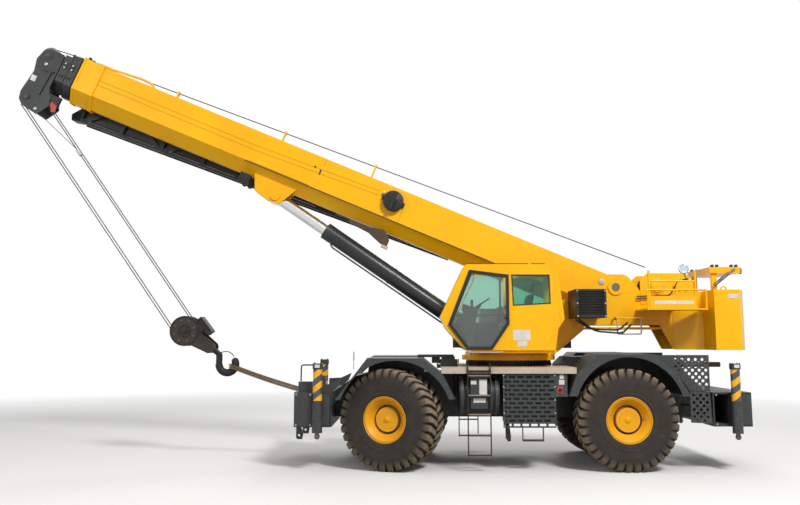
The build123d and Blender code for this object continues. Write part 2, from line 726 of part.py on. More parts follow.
def cab_shell():
    outline = cab_outline()
    solid = side_prism(outline, cab_left_y, cab_right_y)
    solid -= side_prism(inset(outline, cab_wall), cab_left_y + cab_wall, cab_right_y - cab_wall)
    for points, ya, yb in cab_windows():
        solid -= side_prism(points, ya, yb)
    # windscreen, roof window and rear window, cut from above and ahead
    solid -= box(-1200, -560, cab_left_y + 90, cab_right_y - 90, 2760, 3480)
    solid -= box(-420, 420, cab_left_y + 110, cab_right_y - 110, 3590, 3700)
    solid -= box(900, 1200, cab_left_y + 110, cab_right_y - 110, 2900, 3400)
    return solid


def cab_door():
    # slides back outside the rear panel
    y0 = cab_left_y - seat_gap
    solid = side_prism(door_outline, y0 - door_thickness, y0)
    return solid - side_prism(door_window, y0 - door_thickness - 1, y0 + 1)


def cab_inside():
    z = cab_floor_z + cab_wall
    y = (cab_left_y + cab_right_y) / 2
    seat = box(-60, 460, y - 250, y + 250, z + 330, z + 450)
    seat += side_prism([(400, z + 400), (520, z + 400), (640, z + 1050), (540, z + 1080)], y - 230, y + 230)
    seat += box(60, 360, y - 150, y + 150, z + 0.3, z + 331)
    for side in (-1, 1):
        seat += box(-40, 380, y + side * 260, y + side * 340, z + 480, z + 560)
        seat += box(100, 300, y + side * 200, y + side * 300, z + 400, z + 481)
    dash = side_prism([(-640, z + 0.3), (-560, z + 0.3), (-470, z + 640), (-700, z + 700), (-780, z + 500)], y - 200, y + 200)
    return [seat, dash]


def cab_glass():
    panes = []
    for points, ya, yb in cab_windows()[1:]:
        panes.append(side_prism(inset(points, seat_gap), (ya + yb) / 2 - 3, (ya + yb) / 2 + 3))
    return panes


def counterweight():
    x0, x1 = counterweight_x
    z0, z1 = counterweight_z
    plan = [(x0, -1400), (x1 - 150, -1400), (x1, -1120), (x1, 1120), (x1 - 150, 1400), (x0, 1400), (x0, 720),
            (3300, 430), (3300, -430), (x0, -720)]
    solid = plan_prism(plan, z0, z1)
    # the side plates reach into its middle
    solid -= box(3200, 3740, -side_plate_y - side_plate - seat_gap, side_plate_y + side_plate + seat_gap, z0 - 1, z1 + 1)
    return solid


def winches():
    solids = []
    for x, z in ((3020, 3300), (3480, 3300)):
        drum = bar_y(x, -270, 270, z, 150)
        for y in (-260, -80, 80, 230):
            drum += bar_y(x, y, y + 30, z, 215)
        for side in (-1, 1):
            drum += box(x - 130, x + 130, side * 262, side * 300, plate_top_z + seat_gap, z + 150)
            drum += box(x - 130, x + 130, side * 262, side * (side_plate_y + side_plate), plate_top_z + seat_gap,
                        plate_top_z + 30)
        solids.append(drum)
    return solids


def machinery():
    # cooler beside the cab, and the valve cabinet on the right
    cooler = box(1324, 1874, -1250, -side_plate_y - side_plate, 2680, 3200)
    cabinet = box(-300, 1500, side_plate_y + side_plate, 1250, 2120, 2900)
    return [cooler, cabinet]


def platform():
    # walkway beside the winches with a handrail, and the high beam across the tail
    solid = box(2600, 3700, -1300, -730, winch_deck_z - 30, winch_deck_z)
    solid += box(2600, 3290, -731, -side_plate_y - side_plate, winch_deck_z - 30, winch_deck_z)
    for x in (2620, 3150, 3680):
        solid += bar_z(x, -1280, winch_deck_z - 1, 3180, 18)
    solid += bar_x(2602, 3698, -1280, 3180, 18)
    beam_high = box(3950, 4530, -700, 700, 3530, 3640)
    for side in (-1, 1):
        beam_high += box(4000, 4100, side * 560, side * 640, counterweight_z[1] + seat_gap, 3531)
    return [solid, beam_high]


# boom, drawn along x from its pivot, square to it in z

boom_turn = radians(boom_angle)
boom_plane = Plane(origin=(boom_pivot[0], 0, boom_pivot[1]), x_dir=(-cos(boom_turn), 0, sin(boom_turn)),
                   z_dir=(sin(boom_turn), 0, cos(boom_turn)))


def on_boom(shape):
    return boom_plane.location * shape


def section_face(smaller):
    half, low = boom_half_width, boom_side_low
    outline = make_face(Polyline((-half, boom_top), (half, boom_top), (half, low), (boom_bottom_half, boom_bottom),
                                 (-boom_bottom_half, boom_bottom), (-half, low), close=True))
    return offset(outline, amount=-smaller, kind=Kind.INTERSECTION) if smaller else outline


def along(face, x0, x1):
    return extrude(Plane(origin=(x0, 0, 0), x_dir=(0, 1, 0), z_dir=(1, 0, 0)).location * face, amount=x1 - x0)


def boom_tube(x0, x1, smaller, collar, rise):
    solid = along(section_face(smaller) - section_face(smaller + boom_wall), x0, x1)
    ring = section_face(smaller - rise) - section_face(smaller + boom_wall)
    solid += along(ring, x1 - collar, x1)
    if smaller:
        # a second, narrower flange behind the first
        solid += along(ring, x1 - collar - 20, x1 - collar - 1)
    # pads at the mouth that the next section slides on
    pad = boom_step - boom_wall - seat_gap
    z = boom_bottom + smaller + boom_wall
    for side in (-1, 1):
        solid += box(x1 - 260, x1 - 60, side * 12, side * 62, z - 1, z + pad)
    return solid


def boom_base():
    solid = boom_tube(base_rear, base_front, 0, base_collar, base_collar_rise)
    solid += bar_y(0, -side_plate_y + seat_gap, side_plate_y - seat_gap, 0, 140)
    solid -= bar_y(0, -side_plate_y - 1, side_plate_y + 1, 0, pivot_pin_radius + pin_gap)
    b, drop = lift_eye_along, lift_eye_drop
    for side in (-1, 1):
        lug = side_prism([(b - 420, boom_side_low), (b + 640, boom_side_low), (b + 420, drop - 60), (b + 130, drop - 130),
                          (b - 120, drop - 130), (b - 230, drop + 60)],
                         side * lug_gap_half, side * (lug_gap_half + boom_lug))
        lug += bar_y(b, side * (lug_gap_half + 1), side * (lug_gap_half + boom_lug + 26), drop, 95)
        solid += lug - along(section_face(0), b - 800, b + 800)
        # doubler plate on the boom's side above the lug
        low = boom_side_low + 12
        doubler = side_prism([(b - 560, low), (b + 760, low), (b + 560, -290), (b - 360, -290)],
                             side * (boom_half_width - 1), side * (boom_half_width + 14))
        solid += doubler
    # posts on top that guide the rope, and the ring at the rear of the collar
    for x in rope_posts:
        solid += box(x - 15, x + 15, -46, -34, boom_top - 1, post_height(x) + 40)
        solid += box(x - 15, x + 15, 34, 46, boom_top - 1, post_height(x) + 40)
        solid += bar_y(x, -35, 35, post_height(x) - rope_radius - 12, 9)
    ring = section_face(-base_collar_rise - 16) - section_face(1)
    solid += along(ring, base_front - base_collar - 30, base_front - base_collar + 20)
    solid += along(ring, base_front - 40, base_front)
    # the foot is cut back underneath, to swing clear between the side plates
    return solid - side_prism([(base_rear - 1, -300), (700, boom_bottom - 1), (base_rear - 1, boom_bottom - 1)],
                              -boom_half_width - 1, boom_half_width + 1)


def post_height(x):
    # centre of the hoist rope above a place on the boom
    share = (x - rope_start[0]) / (base_front - 140 - rope_start[0])
    return rope_start[1] + (rope_front_z() - rope_start[1]) * share


def rope_front_z():
    return boom_top + base_collar_rise + 16 + rope_radius + 20


def head():
    # cheeks of the boom's nose, outside the fly section
    cheek_outline = [(11880, 110), (12230, 110), (12330, 20), (12390, -160), (12330, -420), (12400, -900),
                     (12360, -1060), (12200, -1160), (11900, -1215), (11730, -940), (11880, -620)]
    solid = None
    for side in (-1, 1):
        cheek = side_prism(cheek_outline, side * (head_half_width - head_plate), side * head_half_width)
        cheek = fillet(cheek.edges().filter_by(Axis.Y), 38)
        solid = cheek if solid is None else solid + cheek
    for x, z in head_pins:
        solid += bar_y(x, -head_half_width - 22, head_half_width + 22, z, 60)
    # keeper round the ends of the upper pin
    px, pz = head_pins[0]
    points = [(px + 105 * cos(radians(60 * i)), pz + 105 * sin(radians(60 * i))) for i in range(6)]
    for side in (-1, 1):
        solid += side_prism(points, side * (head_half_width - 1), side * (head_half_width + 14))
    # back plate that ties the cheeks below the boom
    solid += box(11900, 11930, -head_half_width + 5, head_half_width - 5, -860, -700)
    return solid


def section_tube(front, smaller, collar, rise):
    return boom_tube(section_rear, front, smaller, collar, rise)


def boom_fly(front, smaller, collar, rise):
    solid = boom_tube(section_rear, front, smaller, collar, rise)
    # a slot in its nose for the upper sheaves
    return solid - box(front - 75, front + 1, -175, 175, 0, 200) + head()


def stowed_jib():
    # two lattice sides, deep at the head and tapering to the rear, tied by cross bars at each bay, with two
    # hangers that hook over the boom's side
    rear, front = jib_span
    step = (front - rear) / jib_bays

    def edge(x, ends):
        return ends[0] + (ends[1] - ends[0]) * (x - rear) / (front - rear)
    outline = [(x, edge(x, ends)) for x, ends in ((rear, jib_low), (front, jib_low), (front, jib_high), (rear, jib_high))]
    side = side_prism(outline, -jib_bar, 0)
    for i in range(jib_bays):
        a, b = rear + i * step, rear + (i + 1) * step
        low, high = ((a, edge(a, jib_low)), (b, edge(b, jib_low))), ((a, edge(a, jib_high)), (b, edge(b, jib_high)))
        if i % 2:
            holes = ([low[0], low[1], high[1]], [low[0], high[1], high[0]])
        else:
            holes = ([low[0], low[1], high[0]], [low[1], high[1], high[0]])
        for corners in holes:
            side -= side_prism(inset(corners, jib_bar * 0.75), -jib_bar - 1, 1)
    y0, y1 = jib_y
    solid = Pos(0, y0 + jib_bar, 0) * side + Pos(0, y1, 0) * side
    for i in range(jib_bays + 1):
        x = min(max(rear + i * step, rear + jib_bar), front - jib_bar)
        for z in (edge(x, jib_low) + jib_bar * 0.6, edge(x, jib_high) - jib_bar * 0.6):
            solid += box(x - 17, x + 17, y0 + jib_bar - 1, y1 - jib_bar + 1, z - 17, z + 17)
    for x in jib_hangers:
        high = edge(x, jib_high)
        solid += box(x - 40, x + 40, boom_half_width + seat_gap, y0 + 1, high - 60, high - 10)
        solid += box(x - 40, x + 40, boom_half_width + seat_gap, boom_half_width + 20, high - 60, boom_top - 60)
    return mirrored(solid)   # the boom is drawn pointing backwards, so its +y is the crane's left side


def sheaves():
    solids = []
    (ux, uz), (lx, lz) = head_pins
    for x, z, ys in ((ux, uz, (-140, 0, 140)), (lx, lz, head_sheave_y)):
        for y in ys:
            wheel = bar_y(x, y - 24, y + 24, z, sheave_radius)
            wheel -= bar_y(x, y - 25, y + 25, z, 60 + pin_gap)
            solids.append(wheel)
    return solids


# lift cylinder, drawn along x from its foot

lift_eye = (boom_pivot[0] - lift_eye_along * cos(boom_turn) + lift_eye_drop * sin(boom_turn),
            boom_pivot[1] + lift_eye_along * sin(boom_turn) + lift_eye_drop * cos(boom_turn))
lift_length = hypot(lift_eye[0] - lift_foot[0], lift_eye[1] - lift_foot[1])
barrel_length = lift_length - lift_rod_shows
lift_turn = atan2(lift_eye[1] - lift_foot[1], lift_foot[0] - lift_eye[0])
lift_plane = Plane(origin=(lift_foot[0], 0, lift_foot[1]), x_dir=(-cos(lift_turn), 0, sin(lift_turn)),
                   z_dir=(sin(lift_turn), 0, cos(lift_turn)))


def lift_barrel():
    eye = foot_lug_y - seat_gap
    solid = bar_x(140, barrel_length, 0, 0, barrel_radius)
    solid += bar_x(barrel_length - 170, barrel_length, 0, 0, barrel_radius + 3)
    solid -= bar_x(300, barrel_length - 170, 0, 0, barrel_bore)
    solid -= bar_x(barrel_length - 171, barrel_length + 1, 0, 0, lift_rod_radius + pin_gap)
    solid += bar_y(0, -eye, eye, 0, 130) + box(0, 180, -120, 120, -110, 110)
    return solid - bar_y(0, -foot_lug_y, foot_lug_y, 0, foot_pin_radius + pin_gap)


def lift_rod():
    end = lift_length
    solid = bar_x(piston_from_foot, end - 100, 0, 0, lift_rod_radius)
    solid += bar_x(piston_from_foot, piston_from_foot + 120, 0, 0, barrel_bore - pin_gap)
    half = lug_gap_half
    solid += bar_y(end, -half + 10, half - 10, 0, lift_eye_radius)
    return solid + bar_y(end, -half + seat_gap, half - seat_gap, 0, 60)


# hook block, hanging aslant as the sling holds it

def hook_block():
    cx, cz = block_centre
    ex, ez = block_end
    tilt = atan2(cz - ez, ex - cx)
    reach = hypot(ex - cx, cz - ez)
    plane = Plane(origin=(cx, 0, cz), x_dir=(cos(tilt), 0, -sin(tilt)), z_dir=(sin(tilt), 0, cos(tilt)))
    solid = bar_y(0, -block_half, block_half, 0, 62) + bar_y(reach, -block_half, block_half, 0, 78)
    for side in (-1, 1):
        y0, y1 = side * (block_half - 34), side * block_half
        cheek = bar_y(0, y0, y1, 0, block_plate_radius) + bar_y(reach, y0, y1, 0, 115)
        cheek += side_prism([(0, -200), (reach, -114), (reach, 114), (0, 200)], y0, y1)
        solid += cheek
    for y in block_sheave_y:
        solid += bar_y(0, y - 22, y + 22, 0, sheave_radius)
    # cheek weights and the rope guard between the plates
    solid += box(150, 290, -block_half + 1, block_half - 1, 110, 250)
    block = plane.location * solid
    # shank and bowl
    bx, bz = bowl_centre
    neck = (bx - bowl_radius, 0, bz + 190)
    hook = bar((ex, 0, ez), neck, 52)
    hook += Pos(*neck) * Sphere(56)
    hook += bar(neck, (bx - bowl_radius, 0, bz - 2), 62) 
    section = Plane(origin=(bx - bowl_radius, 0, bz), x_dir=(1, 0, 0), z_dir=(0, 0, 1)) * Circle(bowl_thickness)
    hook += revolve(section, axis=Axis((bx, 0, bz), (0, -1, 0)), revolution_arc=bowl_arc)
    tip_turn = radians(180 + bowl_arc)
    hook += Pos(bx + bowl_radius * cos(tip_turn), 0, bz + bowl_radius * sin(tip_turn)) * Sphere(bowl_thickness)
    return block + hook


def falls():
    # four parts of rope between the head's lower sheaves and the block's sheaves
    hx, hz = head_low_pin()
    cx, cz = block_centre
    run = hypot(cx - hx, hz - cz)
    nx, nz = (hz - cz) / run, (cx - hx) / run
    ropes = []
    for y in block_sheave_y:
        for side in (-1, 1):
            r = side * (sheave_radius + rope_radius + seat_gap)
            ropes.append(bar((hx + nx * r, y, hz + nz * r), (cx + nx * r, y, cz + nz * r), rope_radius))
    return ropes


def head_low_pin():
    along_x, out = head_pins[1]
    return (boom_pivot[0] - along_x * cos(boom_turn) + out * sin(boom_turn),
            boom_pivot[1] + along_x * sin(boom_turn) + out * cos(boom_turn))


def hoist_rope():
    # from the winch over the boom to its head, drawn beside the boom
    roller = (base_front - 140, 0, rope_front_z())
    sheave_top = (head_pins[0][0], 0, head_pins[0][1] + sheave_radius + rope_radius + 2)
    return [bar((rope_start[0], 0, rope_start[1]), roller, rope_radius), bar(roller, sheave_top, rope_radius)]


def sling():
    # a soft sling doubled over the hook, and hooked down to the front lugs
    reach = bowl_radius - bowl_thickness - sling_radius - seat_gap
    x, z = bowl_centre[0] + reach * cos(sling_turn), bowl_centre[1] + reach * sin(sling_turn)
    half = bowl_thickness + sling_radius + 2
    solid = bar_y(x, -half, half, z, sling_radius)
    for side in (-1, 1):
        low = (sling_lug[0], side * sling_lug[1], sling_lug[2])
        leg = bar((x, side * half, z), low, sling_radius - 1)
        solid = solid.fuse(leg, Pos(x, side * half, z) * Sphere(sling_radius + 1), Pos(*low) * Sphere(sling_radius))
    return solid


def foot_pin(centre, radius, half):
    return bar_y(centre[0], -half, half, centre[1], radius)


write("engine_hood", engine_hood())
write("engine_block", engine_block())
write("radiator_and_exhaust", radiator())
write("fuel_tank", fuel_tank())
write("side_tank_and_boxes", hydraulic_tank(), *side_boxes(), deck_blocks())
write("guards", *slotted_guard(), *rear_guards())

# superstructure
write("turntable", turntable())
write("cab_shell", cab_shell())
write("cab_glass", *cab_glass())
write("cab_door", cab_door(), side_prism(inset(door_window, seat_gap), cab_left_y - 25, cab_left_y - 19))
write("cab_interior", *cab_inside())
write("counterweight", counterweight())
write("winches", *winches())
write("machinery", *machinery())
write("platform", *platform())

# boom and cylinder
write("boom_foot_pin", foot_pin(boom_pivot, pivot_pin_radius, side_plate_y + side_plate + 45))
write("lift_foot_pin", foot_pin(lift_foot, foot_pin_radius, foot_lug_y + side_plate + 20))
write("boom_base", on_boom(boom_base()))
for i, (name, front, collar, rise) in enumerate(sections):
    section = boom_fly if name == "boom_fly" else section_tube
    write(name, on_boom(section(front, (i + 1) * boom_step, collar, rise)))
write("head_sheaves", *[on_boom(s) for s in sheaves()])
write("stowed_jib", on_boom(stowed_jib()))
write("hoist_rope", *[on_boom(s) for s in hoist_rope()])
write("lift_barrel", lift_plane.location * lift_barrel())
write("lift_rod", lift_plane.location * lift_rod())
write("hook_block", hook_block())
write("hoist_falls", *falls())
write("sling", sling())
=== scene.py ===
import bmesh
import bpy
import math
import numpy as np
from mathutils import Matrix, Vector


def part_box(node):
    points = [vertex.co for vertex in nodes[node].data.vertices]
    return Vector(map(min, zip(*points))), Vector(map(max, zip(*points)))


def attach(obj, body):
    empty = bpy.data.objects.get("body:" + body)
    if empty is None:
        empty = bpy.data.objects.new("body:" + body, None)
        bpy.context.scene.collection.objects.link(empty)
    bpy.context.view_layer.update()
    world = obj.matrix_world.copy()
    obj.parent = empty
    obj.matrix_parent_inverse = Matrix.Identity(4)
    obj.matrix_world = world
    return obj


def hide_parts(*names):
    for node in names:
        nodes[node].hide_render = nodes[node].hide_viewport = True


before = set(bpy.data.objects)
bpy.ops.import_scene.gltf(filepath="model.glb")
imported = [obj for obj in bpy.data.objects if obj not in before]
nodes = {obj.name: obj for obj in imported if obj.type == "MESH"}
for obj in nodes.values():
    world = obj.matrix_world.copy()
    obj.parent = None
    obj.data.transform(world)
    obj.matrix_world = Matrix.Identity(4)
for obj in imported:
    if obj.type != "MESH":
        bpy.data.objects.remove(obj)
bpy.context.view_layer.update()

# Lengths are in metres. Points are written with x from the middle of the wheelbase and moved by originX when
# a mesh is made, so that they read as the sizes of the crane do: x to the tail, y to its right, z up.
originX = 2.54
boom = {"pivot": (2.236, 3.283), "angle": math.radians(22.75), "halfWidth": 0.31}
lift = {"foot": (-0.300, 2.320), "eyeAlong": 6.800, "eyeDrop": -0.873, "barrel": 3.730}


# colours, nodes and materials

def linear(hexColour):
    # a display colour as linear light: (v + 0.055) / 1.055 to the power of 2.4, or v / 12.92 in the dark
    parts = [int(hexColour[i:i + 2], 16) / 255 for i in (1, 3, 5)]
    return tuple(v / 12.92 if v <= 0.04045 else ((v + 0.055) / 1.055) ** 2.4 for v in parts) + (1.0,)


def addNode(tree, kind, inputs=None, take=None, **settings):
    # one shader node with its settings, its kind without the word that they all start with; each input is
    # linked to an output or set to a value, and the output that take names comes back, or the first in use
    node = tree.nodes.new("ShaderNode" + kind)
    for key, value in settings.items():
        setattr(node, key, value)
    for key, value in (inputs or {}).items():
        if isinstance(value, bpy.types.NodeSocket):
            tree.links.new(value, node.inputs[key])
        else:
            node.inputs[key].default_value = value
    return node.outputs[take] if take else next((out for out in node.outputs if out.enabled), None)


def newMaterial(name):
    # an empty material, its tree and the piece's own coordinates in metres
    material = bpy.data.materials.new(name)
    material.use_nodes = True
    tree = material.node_tree
    tree.nodes.clear()
    return material, tree, addNode(tree, "TexCoord", take="Object")


def softMask(tree, where, scale, detail, edges, ends=(0.0, 1.0), roughness=0.5):
    # soft patches of fractal noise: the first end below the lower edge, the second above the upper one
    noise = addNode(tree, "TexNoise", {"Vector": where, "Scale": scale, "Detail": detail,
                                       "Roughness": roughness})
    return addNode(tree, "MapRange", {"Value": noise, "From Min": edges[0], "From Max": edges[1],
                                      "To Min": ends[0], "To Max": ends[1]})


def finished(material, tree, inputs):
    # the surface shader with its inputs, wired to the output
    shader = addNode(tree, "BsdfPrincipled", inputs)
    addNode(tree, "OutputMaterial", {"Surface": shader})
    return material


def settledDust(tree, where, amount):
    # dust lies low down and on what faces up, thinner and thicker in soft clouds a forearm across
    height = addNode(tree, "SeparateXYZ", {0: where}, take="Z")
    low = addNode(tree, "MapRange", {"Value": height, "From Min": 0.2, "From Max": 2.6, "To Min": 1.0,
                                     "To Max": 0.25})
    normal = addNode(tree, "NewGeometry", take="Normal")
    up = addNode(tree, "SeparateXYZ", {0: normal}, take="Z")
    lying = addNode(tree, "MapRange", {"Value": up, "From Min": 0.3, "From Max": 0.95, "To Min": 0.3})
    clouds = softMask(tree, where, 2.4, 4, (0.35, 0.75), (0.35 * amount, amount), 0.6)
    both = addNode(tree, "Math", {0: low, 1: lying}, operation="MULTIPLY")
    return addNode(tree, "Math", {0: both, 1: clouds}, operation="MULTIPLY")


def sprayedEnamel(name, colour, deep, roughness=0.34, dust=0.3, wear=0.4, bare="#77716a", coat=0.25,
                  dustColour="#9c8d78"):
    # two-pack enamel sprayed on plate: an even colour with slow drifts, faint rain streaks, a fine orange
    # peel, plate that isn't quite flat, dust, and edges rubbed to primer
    material, tree, where = newMaterial(name)
    drift = softMask(tree, where, 0.8, 2, (0.3, 0.7))
    base = addNode(tree, "Mix", {0: drift, 6: linear(colour), 7: linear(deep)}, data_type="RGBA")
    long = addNode(tree, "Mapping", {"Vector": where, "Scale": (1, 1, 0.06)})
    streaks = softMask(tree, long, 6, 4, (0.55, 0.85), (0.0, 0.16))
    base = addNode(tree, "Mix", {0: streaks, 6: base, 7: linear(deep)}, data_type="RGBA",
                   blend_type="MULTIPLY")
    edge = addNode(tree, "NewGeometry", take="Pointiness")
    edge = addNode(tree, "MapRange", {"Value": edge, "From Min": 0.55, "From Max": 0.64})
    chips = softMask(tree, where, 24, 5, (0.52, 0.68), (0.0, wear), 0.7)
    worn = addNode(tree, "Math", {0: edge, 1: chips}, operation="MULTIPLY")
    base = addNode(tree, "Mix", {0: worn, 6: base, 7: linear(bare)}, data_type="RGBA")
    lying = settledDust(tree, where, dust)
    base = addNode(tree, "Mix", {0: lying, 6: base, 7: linear(dustColour)}, data_type="RGBA")
    gloss = softMask(tree, where, 3, 4, (0.3, 0.75), (roughness - 0.05, roughness + 0.09))
    gloss = addNode(tree, "Math", {0: lying, 1: 0.5, 2: gloss}, operation="MULTIPLY_ADD")
    plate = addNode(tree, "TexNoise", {"Vector": where, "Scale": 1.8, "Detail": 1})
    bump = addNode(tree, "Bump", {"Height": plate, "Strength": 0.1, "Distance": 0.02})
    peel = addNode(tree, "TexNoise", {"Vector": where, "Scale": 250, "Detail": 2})   # 2 mm peel, drawn at 4
    bump = addNode(tree, "Bump", {"Height": peel, "Strength": 0.04, "Distance": 0.001, "Normal": bump})
    return finished(material, tree, {"Base Color": base, "Roughness": gloss, "Normal": bump,
                                     "Coat Weight": coat, "Coat Roughness": 0.15, "Specular IOR Level": 0.3})


def bandedEnamel(name, light, dark, pitch, rise):
    # sprayed enamel masked into slanting warning bands; pitch is one light and one dark band down the tube
    material, tree, where = newMaterial(name)
    place = addNode(tree, "Mapping", {"Vector": where, "Scale": (rise / pitch, 0, 1 / pitch)})
    across = addNode(tree, "SeparateXYZ", {0: place}, take="X")
    down = addNode(tree, "SeparateXYZ", {0: place}, take="Z")
    run = addNode(tree, "Math", {0: across, 1: down}, operation="ADD")
    run = addNode(tree, "Math", {0: run}, operation="FRACT")
    band = addNode(tree, "Math", {0: run, 1: 0.5}, operation="GREATER_THAN")
    base = addNode(tree, "Mix", {0: band, 6: linear(dark), 7: linear(light)}, data_type="RGBA")
    lying = settledDust(tree, where, 0.3)
    base = addNode(tree, "Mix", {0: lying, 6: base, 7: linear("#9c8d78")}, data_type="RGBA")
    return finished(material, tree, {"Base Color": base, "Roughness": 0.4, "Coat Weight": 0.2,
                                     "Coat Roughness": 0.15})


def curedRubber(name, colour, dusty, roughness=0.85, clay="#a38d73", worn=True):
    # moulded and cured rubber: matt dark brown-black with a bloom of dust in soft clouds; where the road
    # wears it, by the piece's own wear attribute, it carries dried clay
    material, tree, where = newMaterial(name)
    clouds = softMask(tree, where, 5, 6, (0.36, 0.72), (0.0, 0.7), 0.65)
    base = addNode(tree, "Mix", {0: clouds, 6: linear(colour), 7: linear(dusty)}, data_type="RGBA")
    if worn:
        wear = addNode(tree, "Attribute", take="Fac", attribute_name="wear")
        patches = softMask(tree, where, 14, 5, (0.3, 0.62), (0.35, 1.0), 0.7)
        clayed = addNode(tree, "Math", {0: wear, 1: patches}, operation="MULTIPLY")
        base = addNode(tree, "Mix", {0: clayed, 6: base, 7: linear(clay)}, data_type="RGBA")
    grain = addNode(tree, "TexNoise", {"Vector": where, "Scale": 60, "Detail": 5, "Roughness": 0.7})
    bump = addNode(tree, "Bump", {"Height": grain, "Strength": 0.3, "Distance": 0.005})
    return finished(material, tree, {"Base Color": base, "Roughness": roughness, "Normal": bump})


def groundSteel(name, colour, roughness=0.22, grain=(1, 1, 1), grime=0.2):
    # turned, ground or drawn steel: fine lines along one way under a film of grease and dirt in patches
    material, tree, where = newMaterial(name)
    place = addNode(tree, "Mapping", {"Vector": where, "Scale": grain})
    lines = addNode(tree, "TexNoise", {"Vector": place, "Scale": 90, "Detail": 4, "Roughness": 0.7})
    dirt = softMask(tree, where, 8, 5, (0.45, 0.75), (0.0, grime), 0.7)
    base = addNode(tree, "Mix", {0: dirt, 6: linear(colour), 7: linear("#2a241d")}, data_type="RGBA")
    gloss = addNode(tree, "MapRange", {"Value": lines, "From Min": 0.2, "From Max": 0.8,
                                       "To Min": roughness * 0.7, "To Max": roughness * 1.4})
    gloss = addNode(tree, "Math", {0: dirt, 1: 0.5, 2: gloss}, operation="MULTIPLY_ADD")
    bump = addNode(tree, "Bump", {"Height": lines, "Strength": 0.12, "Distance": 0.001})
    return finished(material, tree, {"Base Color": base, "Metallic": 1.0, "Roughness": gloss,
                                     "Normal": bump})


def weatheredSteel(name, paint, rust, amount=0.5, rubbed=0.5):
    # forged, cast or welded steel whose thin paint has gone: dark, with brown rust in blotches and on edges
    material, tree, where = newMaterial(name)
    blotches = softMask(tree, where, 11, 7, (0.42, 0.68), (0.0, amount), 0.72)
    base = addNode(tree, "Mix", {0: blotches, 6: linear(paint), 7: linear(rust)}, data_type="RGBA")
    edge = addNode(tree, "NewGeometry", take="Pointiness")
    edge = addNode(tree, "MapRange", {"Value": edge, "From Min": 0.53, "From Max": 0.6, "To Max": rubbed})
    base = addNode(tree, "Mix", {0: edge, 6: base, 7: linear("#7d6450")}, data_type="RGBA")
    pits = addNode(tree, "TexNoise", {"Vector": where, "Scale": 55, "Detail": 5, "Roughness": 0.7})
    bump = addNode(tree, "Bump", {"Height": pits, "Strength": 0.3, "Distance": 0.004})
    return finished(material, tree, {"Base Color": base, "Metallic": 0.2, "Roughness": 0.62, "Normal": bump})


def mouldedPlastic(name, colour, roughness=0.5, grainMm=1.5, depth=0.15):
    # injection moulded plastic: a fine eroded grain, slightly greyed where hands and dust reach
    material, tree, where = newMaterial(name)
    greyed = softMask(tree, where, 4, 3, (0.3, 0.7), (0.0, 0.25))
    base = addNode(tree, "Mix", {0: greyed, 6: linear(colour), 7: linear("#6a635a")}, data_type="RGBA")
    grain = addNode(tree, "TexNoise", {"Vector": where, "Scale": 1000 / grainMm, "Detail": 2})
    bump = addNode(tree, "Bump", {"Height": grain, "Strength": depth, "Distance": 0.0006})
    return finished(material, tree, {"Base Color": base, "Roughness": roughness, "Normal": bump})


def floatGlass(name, tint, film=0.03):
    # float glass, tinted in its body: clear, with sharp reflections and a faint film of wiped dust
    material, tree, where = newMaterial(name)
    wiped = softMask(tree, where, 5, 5, (0.5, 0.85), (film, film + 0.08), 0.7)
    return finished(material, tree, {"Base Color": linear(tint), "Roughness": wiped, "IOR": 1.5,
                                     "Transmission Weight": 0.95})


def wovenCloth(name, colour, dark, threadMm, soiled=0.6):
    # a plain weave of polyester yarn: two waves at right angles give the over and under of the threads,
    # drawn three times as coarse as it is, dirt darkens it in patches, and painted shade darkens the gaps
    # between the threads
    material, tree, where = newMaterial(name)
    perMetre = 1000 / threadMm / 6.28
    weft = addNode(tree, "TexWave", {"Vector": where, "Scale": perMetre, "Distortion": 0.5}, take="Fac",
                   bands_direction="X")
    warp = addNode(tree, "TexWave", {"Vector": where, "Scale": perMetre, "Distortion": 0.5}, take="Fac",
                   bands_direction="Z")
    weave = addNode(tree, "Math", {0: weft, 1: warp}, operation="MULTIPLY")
    stains = softMask(tree, where, 5, 5, (0.4, 0.7), (0.0, soiled), 0.7)
    base = addNode(tree, "Mix", {0: stains, 6: linear(colour), 7: linear(dark)}, data_type="RGBA")
    # the low places of the weave are mixed towards the dark colour: painted shade between the threads
    weaveShade = addNode(tree, "MapRange", {"Value": weave, "To Min": 0.35, "To Max": 0.0})
    base = addNode(tree, "Mix", {0: weaveShade, 6: base, 7: linear(dark)}, data_type="RGBA")
    bump = addNode(tree, "Bump", {"Height": weave, "Strength": 0.6, "Distance": 0.002})
    return finished(material, tree, {"Base Color": base, "Roughness": 0.9, "Sheen Weight": 0.3,
                                     "Normal": bump})


yellowEnamel = sprayedEnamel("sprayedYellowEnamel", "#ffc000", "#f9b500", 0.34, 0.12, 0.25, "#c58a12", 0.06,
                             "#b79a63")
# a darker copy of the yellow enamel: painted shade, laid on the boom's seams and welds
paintedShadeYellow = sprayedEnamel("sprayedYellowPaintedShade", "#d39300", "#c78a00", 0.4, 0.2, 0.3, "#8d6a1c", 0.15,
                             "#8f7d5c")
rimEnamel = sprayedEnamel("sprayedRimEnamel", "#fbb400", "#eda600", 0.40, 0.25, 0.4, "#8a6a28", 0.05)
greyEnamel = sprayedEnamel("sprayedGreyEnamel", "#3d4142", "#353839", 0.42, 0.2, 0.5, "#8a8780", 0.05,
                           "#7d776c")
boomGrey = sprayedEnamel("sprayedDarkGreyEnamel", "#2a2c2d", "#222425", 0.38, 0.12, 0.45, "#7d7a75", 0.15,
                         "#6d685f")
blackEnamel = sprayedEnamel("sprayedBlackEnamel", "#1c1d1d", "#151515", 0.45, 0.22, 0.4, "#5c5750", 0.1,
                            "#6b6255")
paleEnamel = sprayedEnamel("sprayedPaleEnamel", "#cfc0ad", "#bfae9a", 0.5, 0.4, 0.5, "#6d675c", 0.05,
                           "#a5937c")
hazardBands = bandedEnamel("maskedWarningEnamel", "#ffb800", "#43484a", 0.235, -0.75)
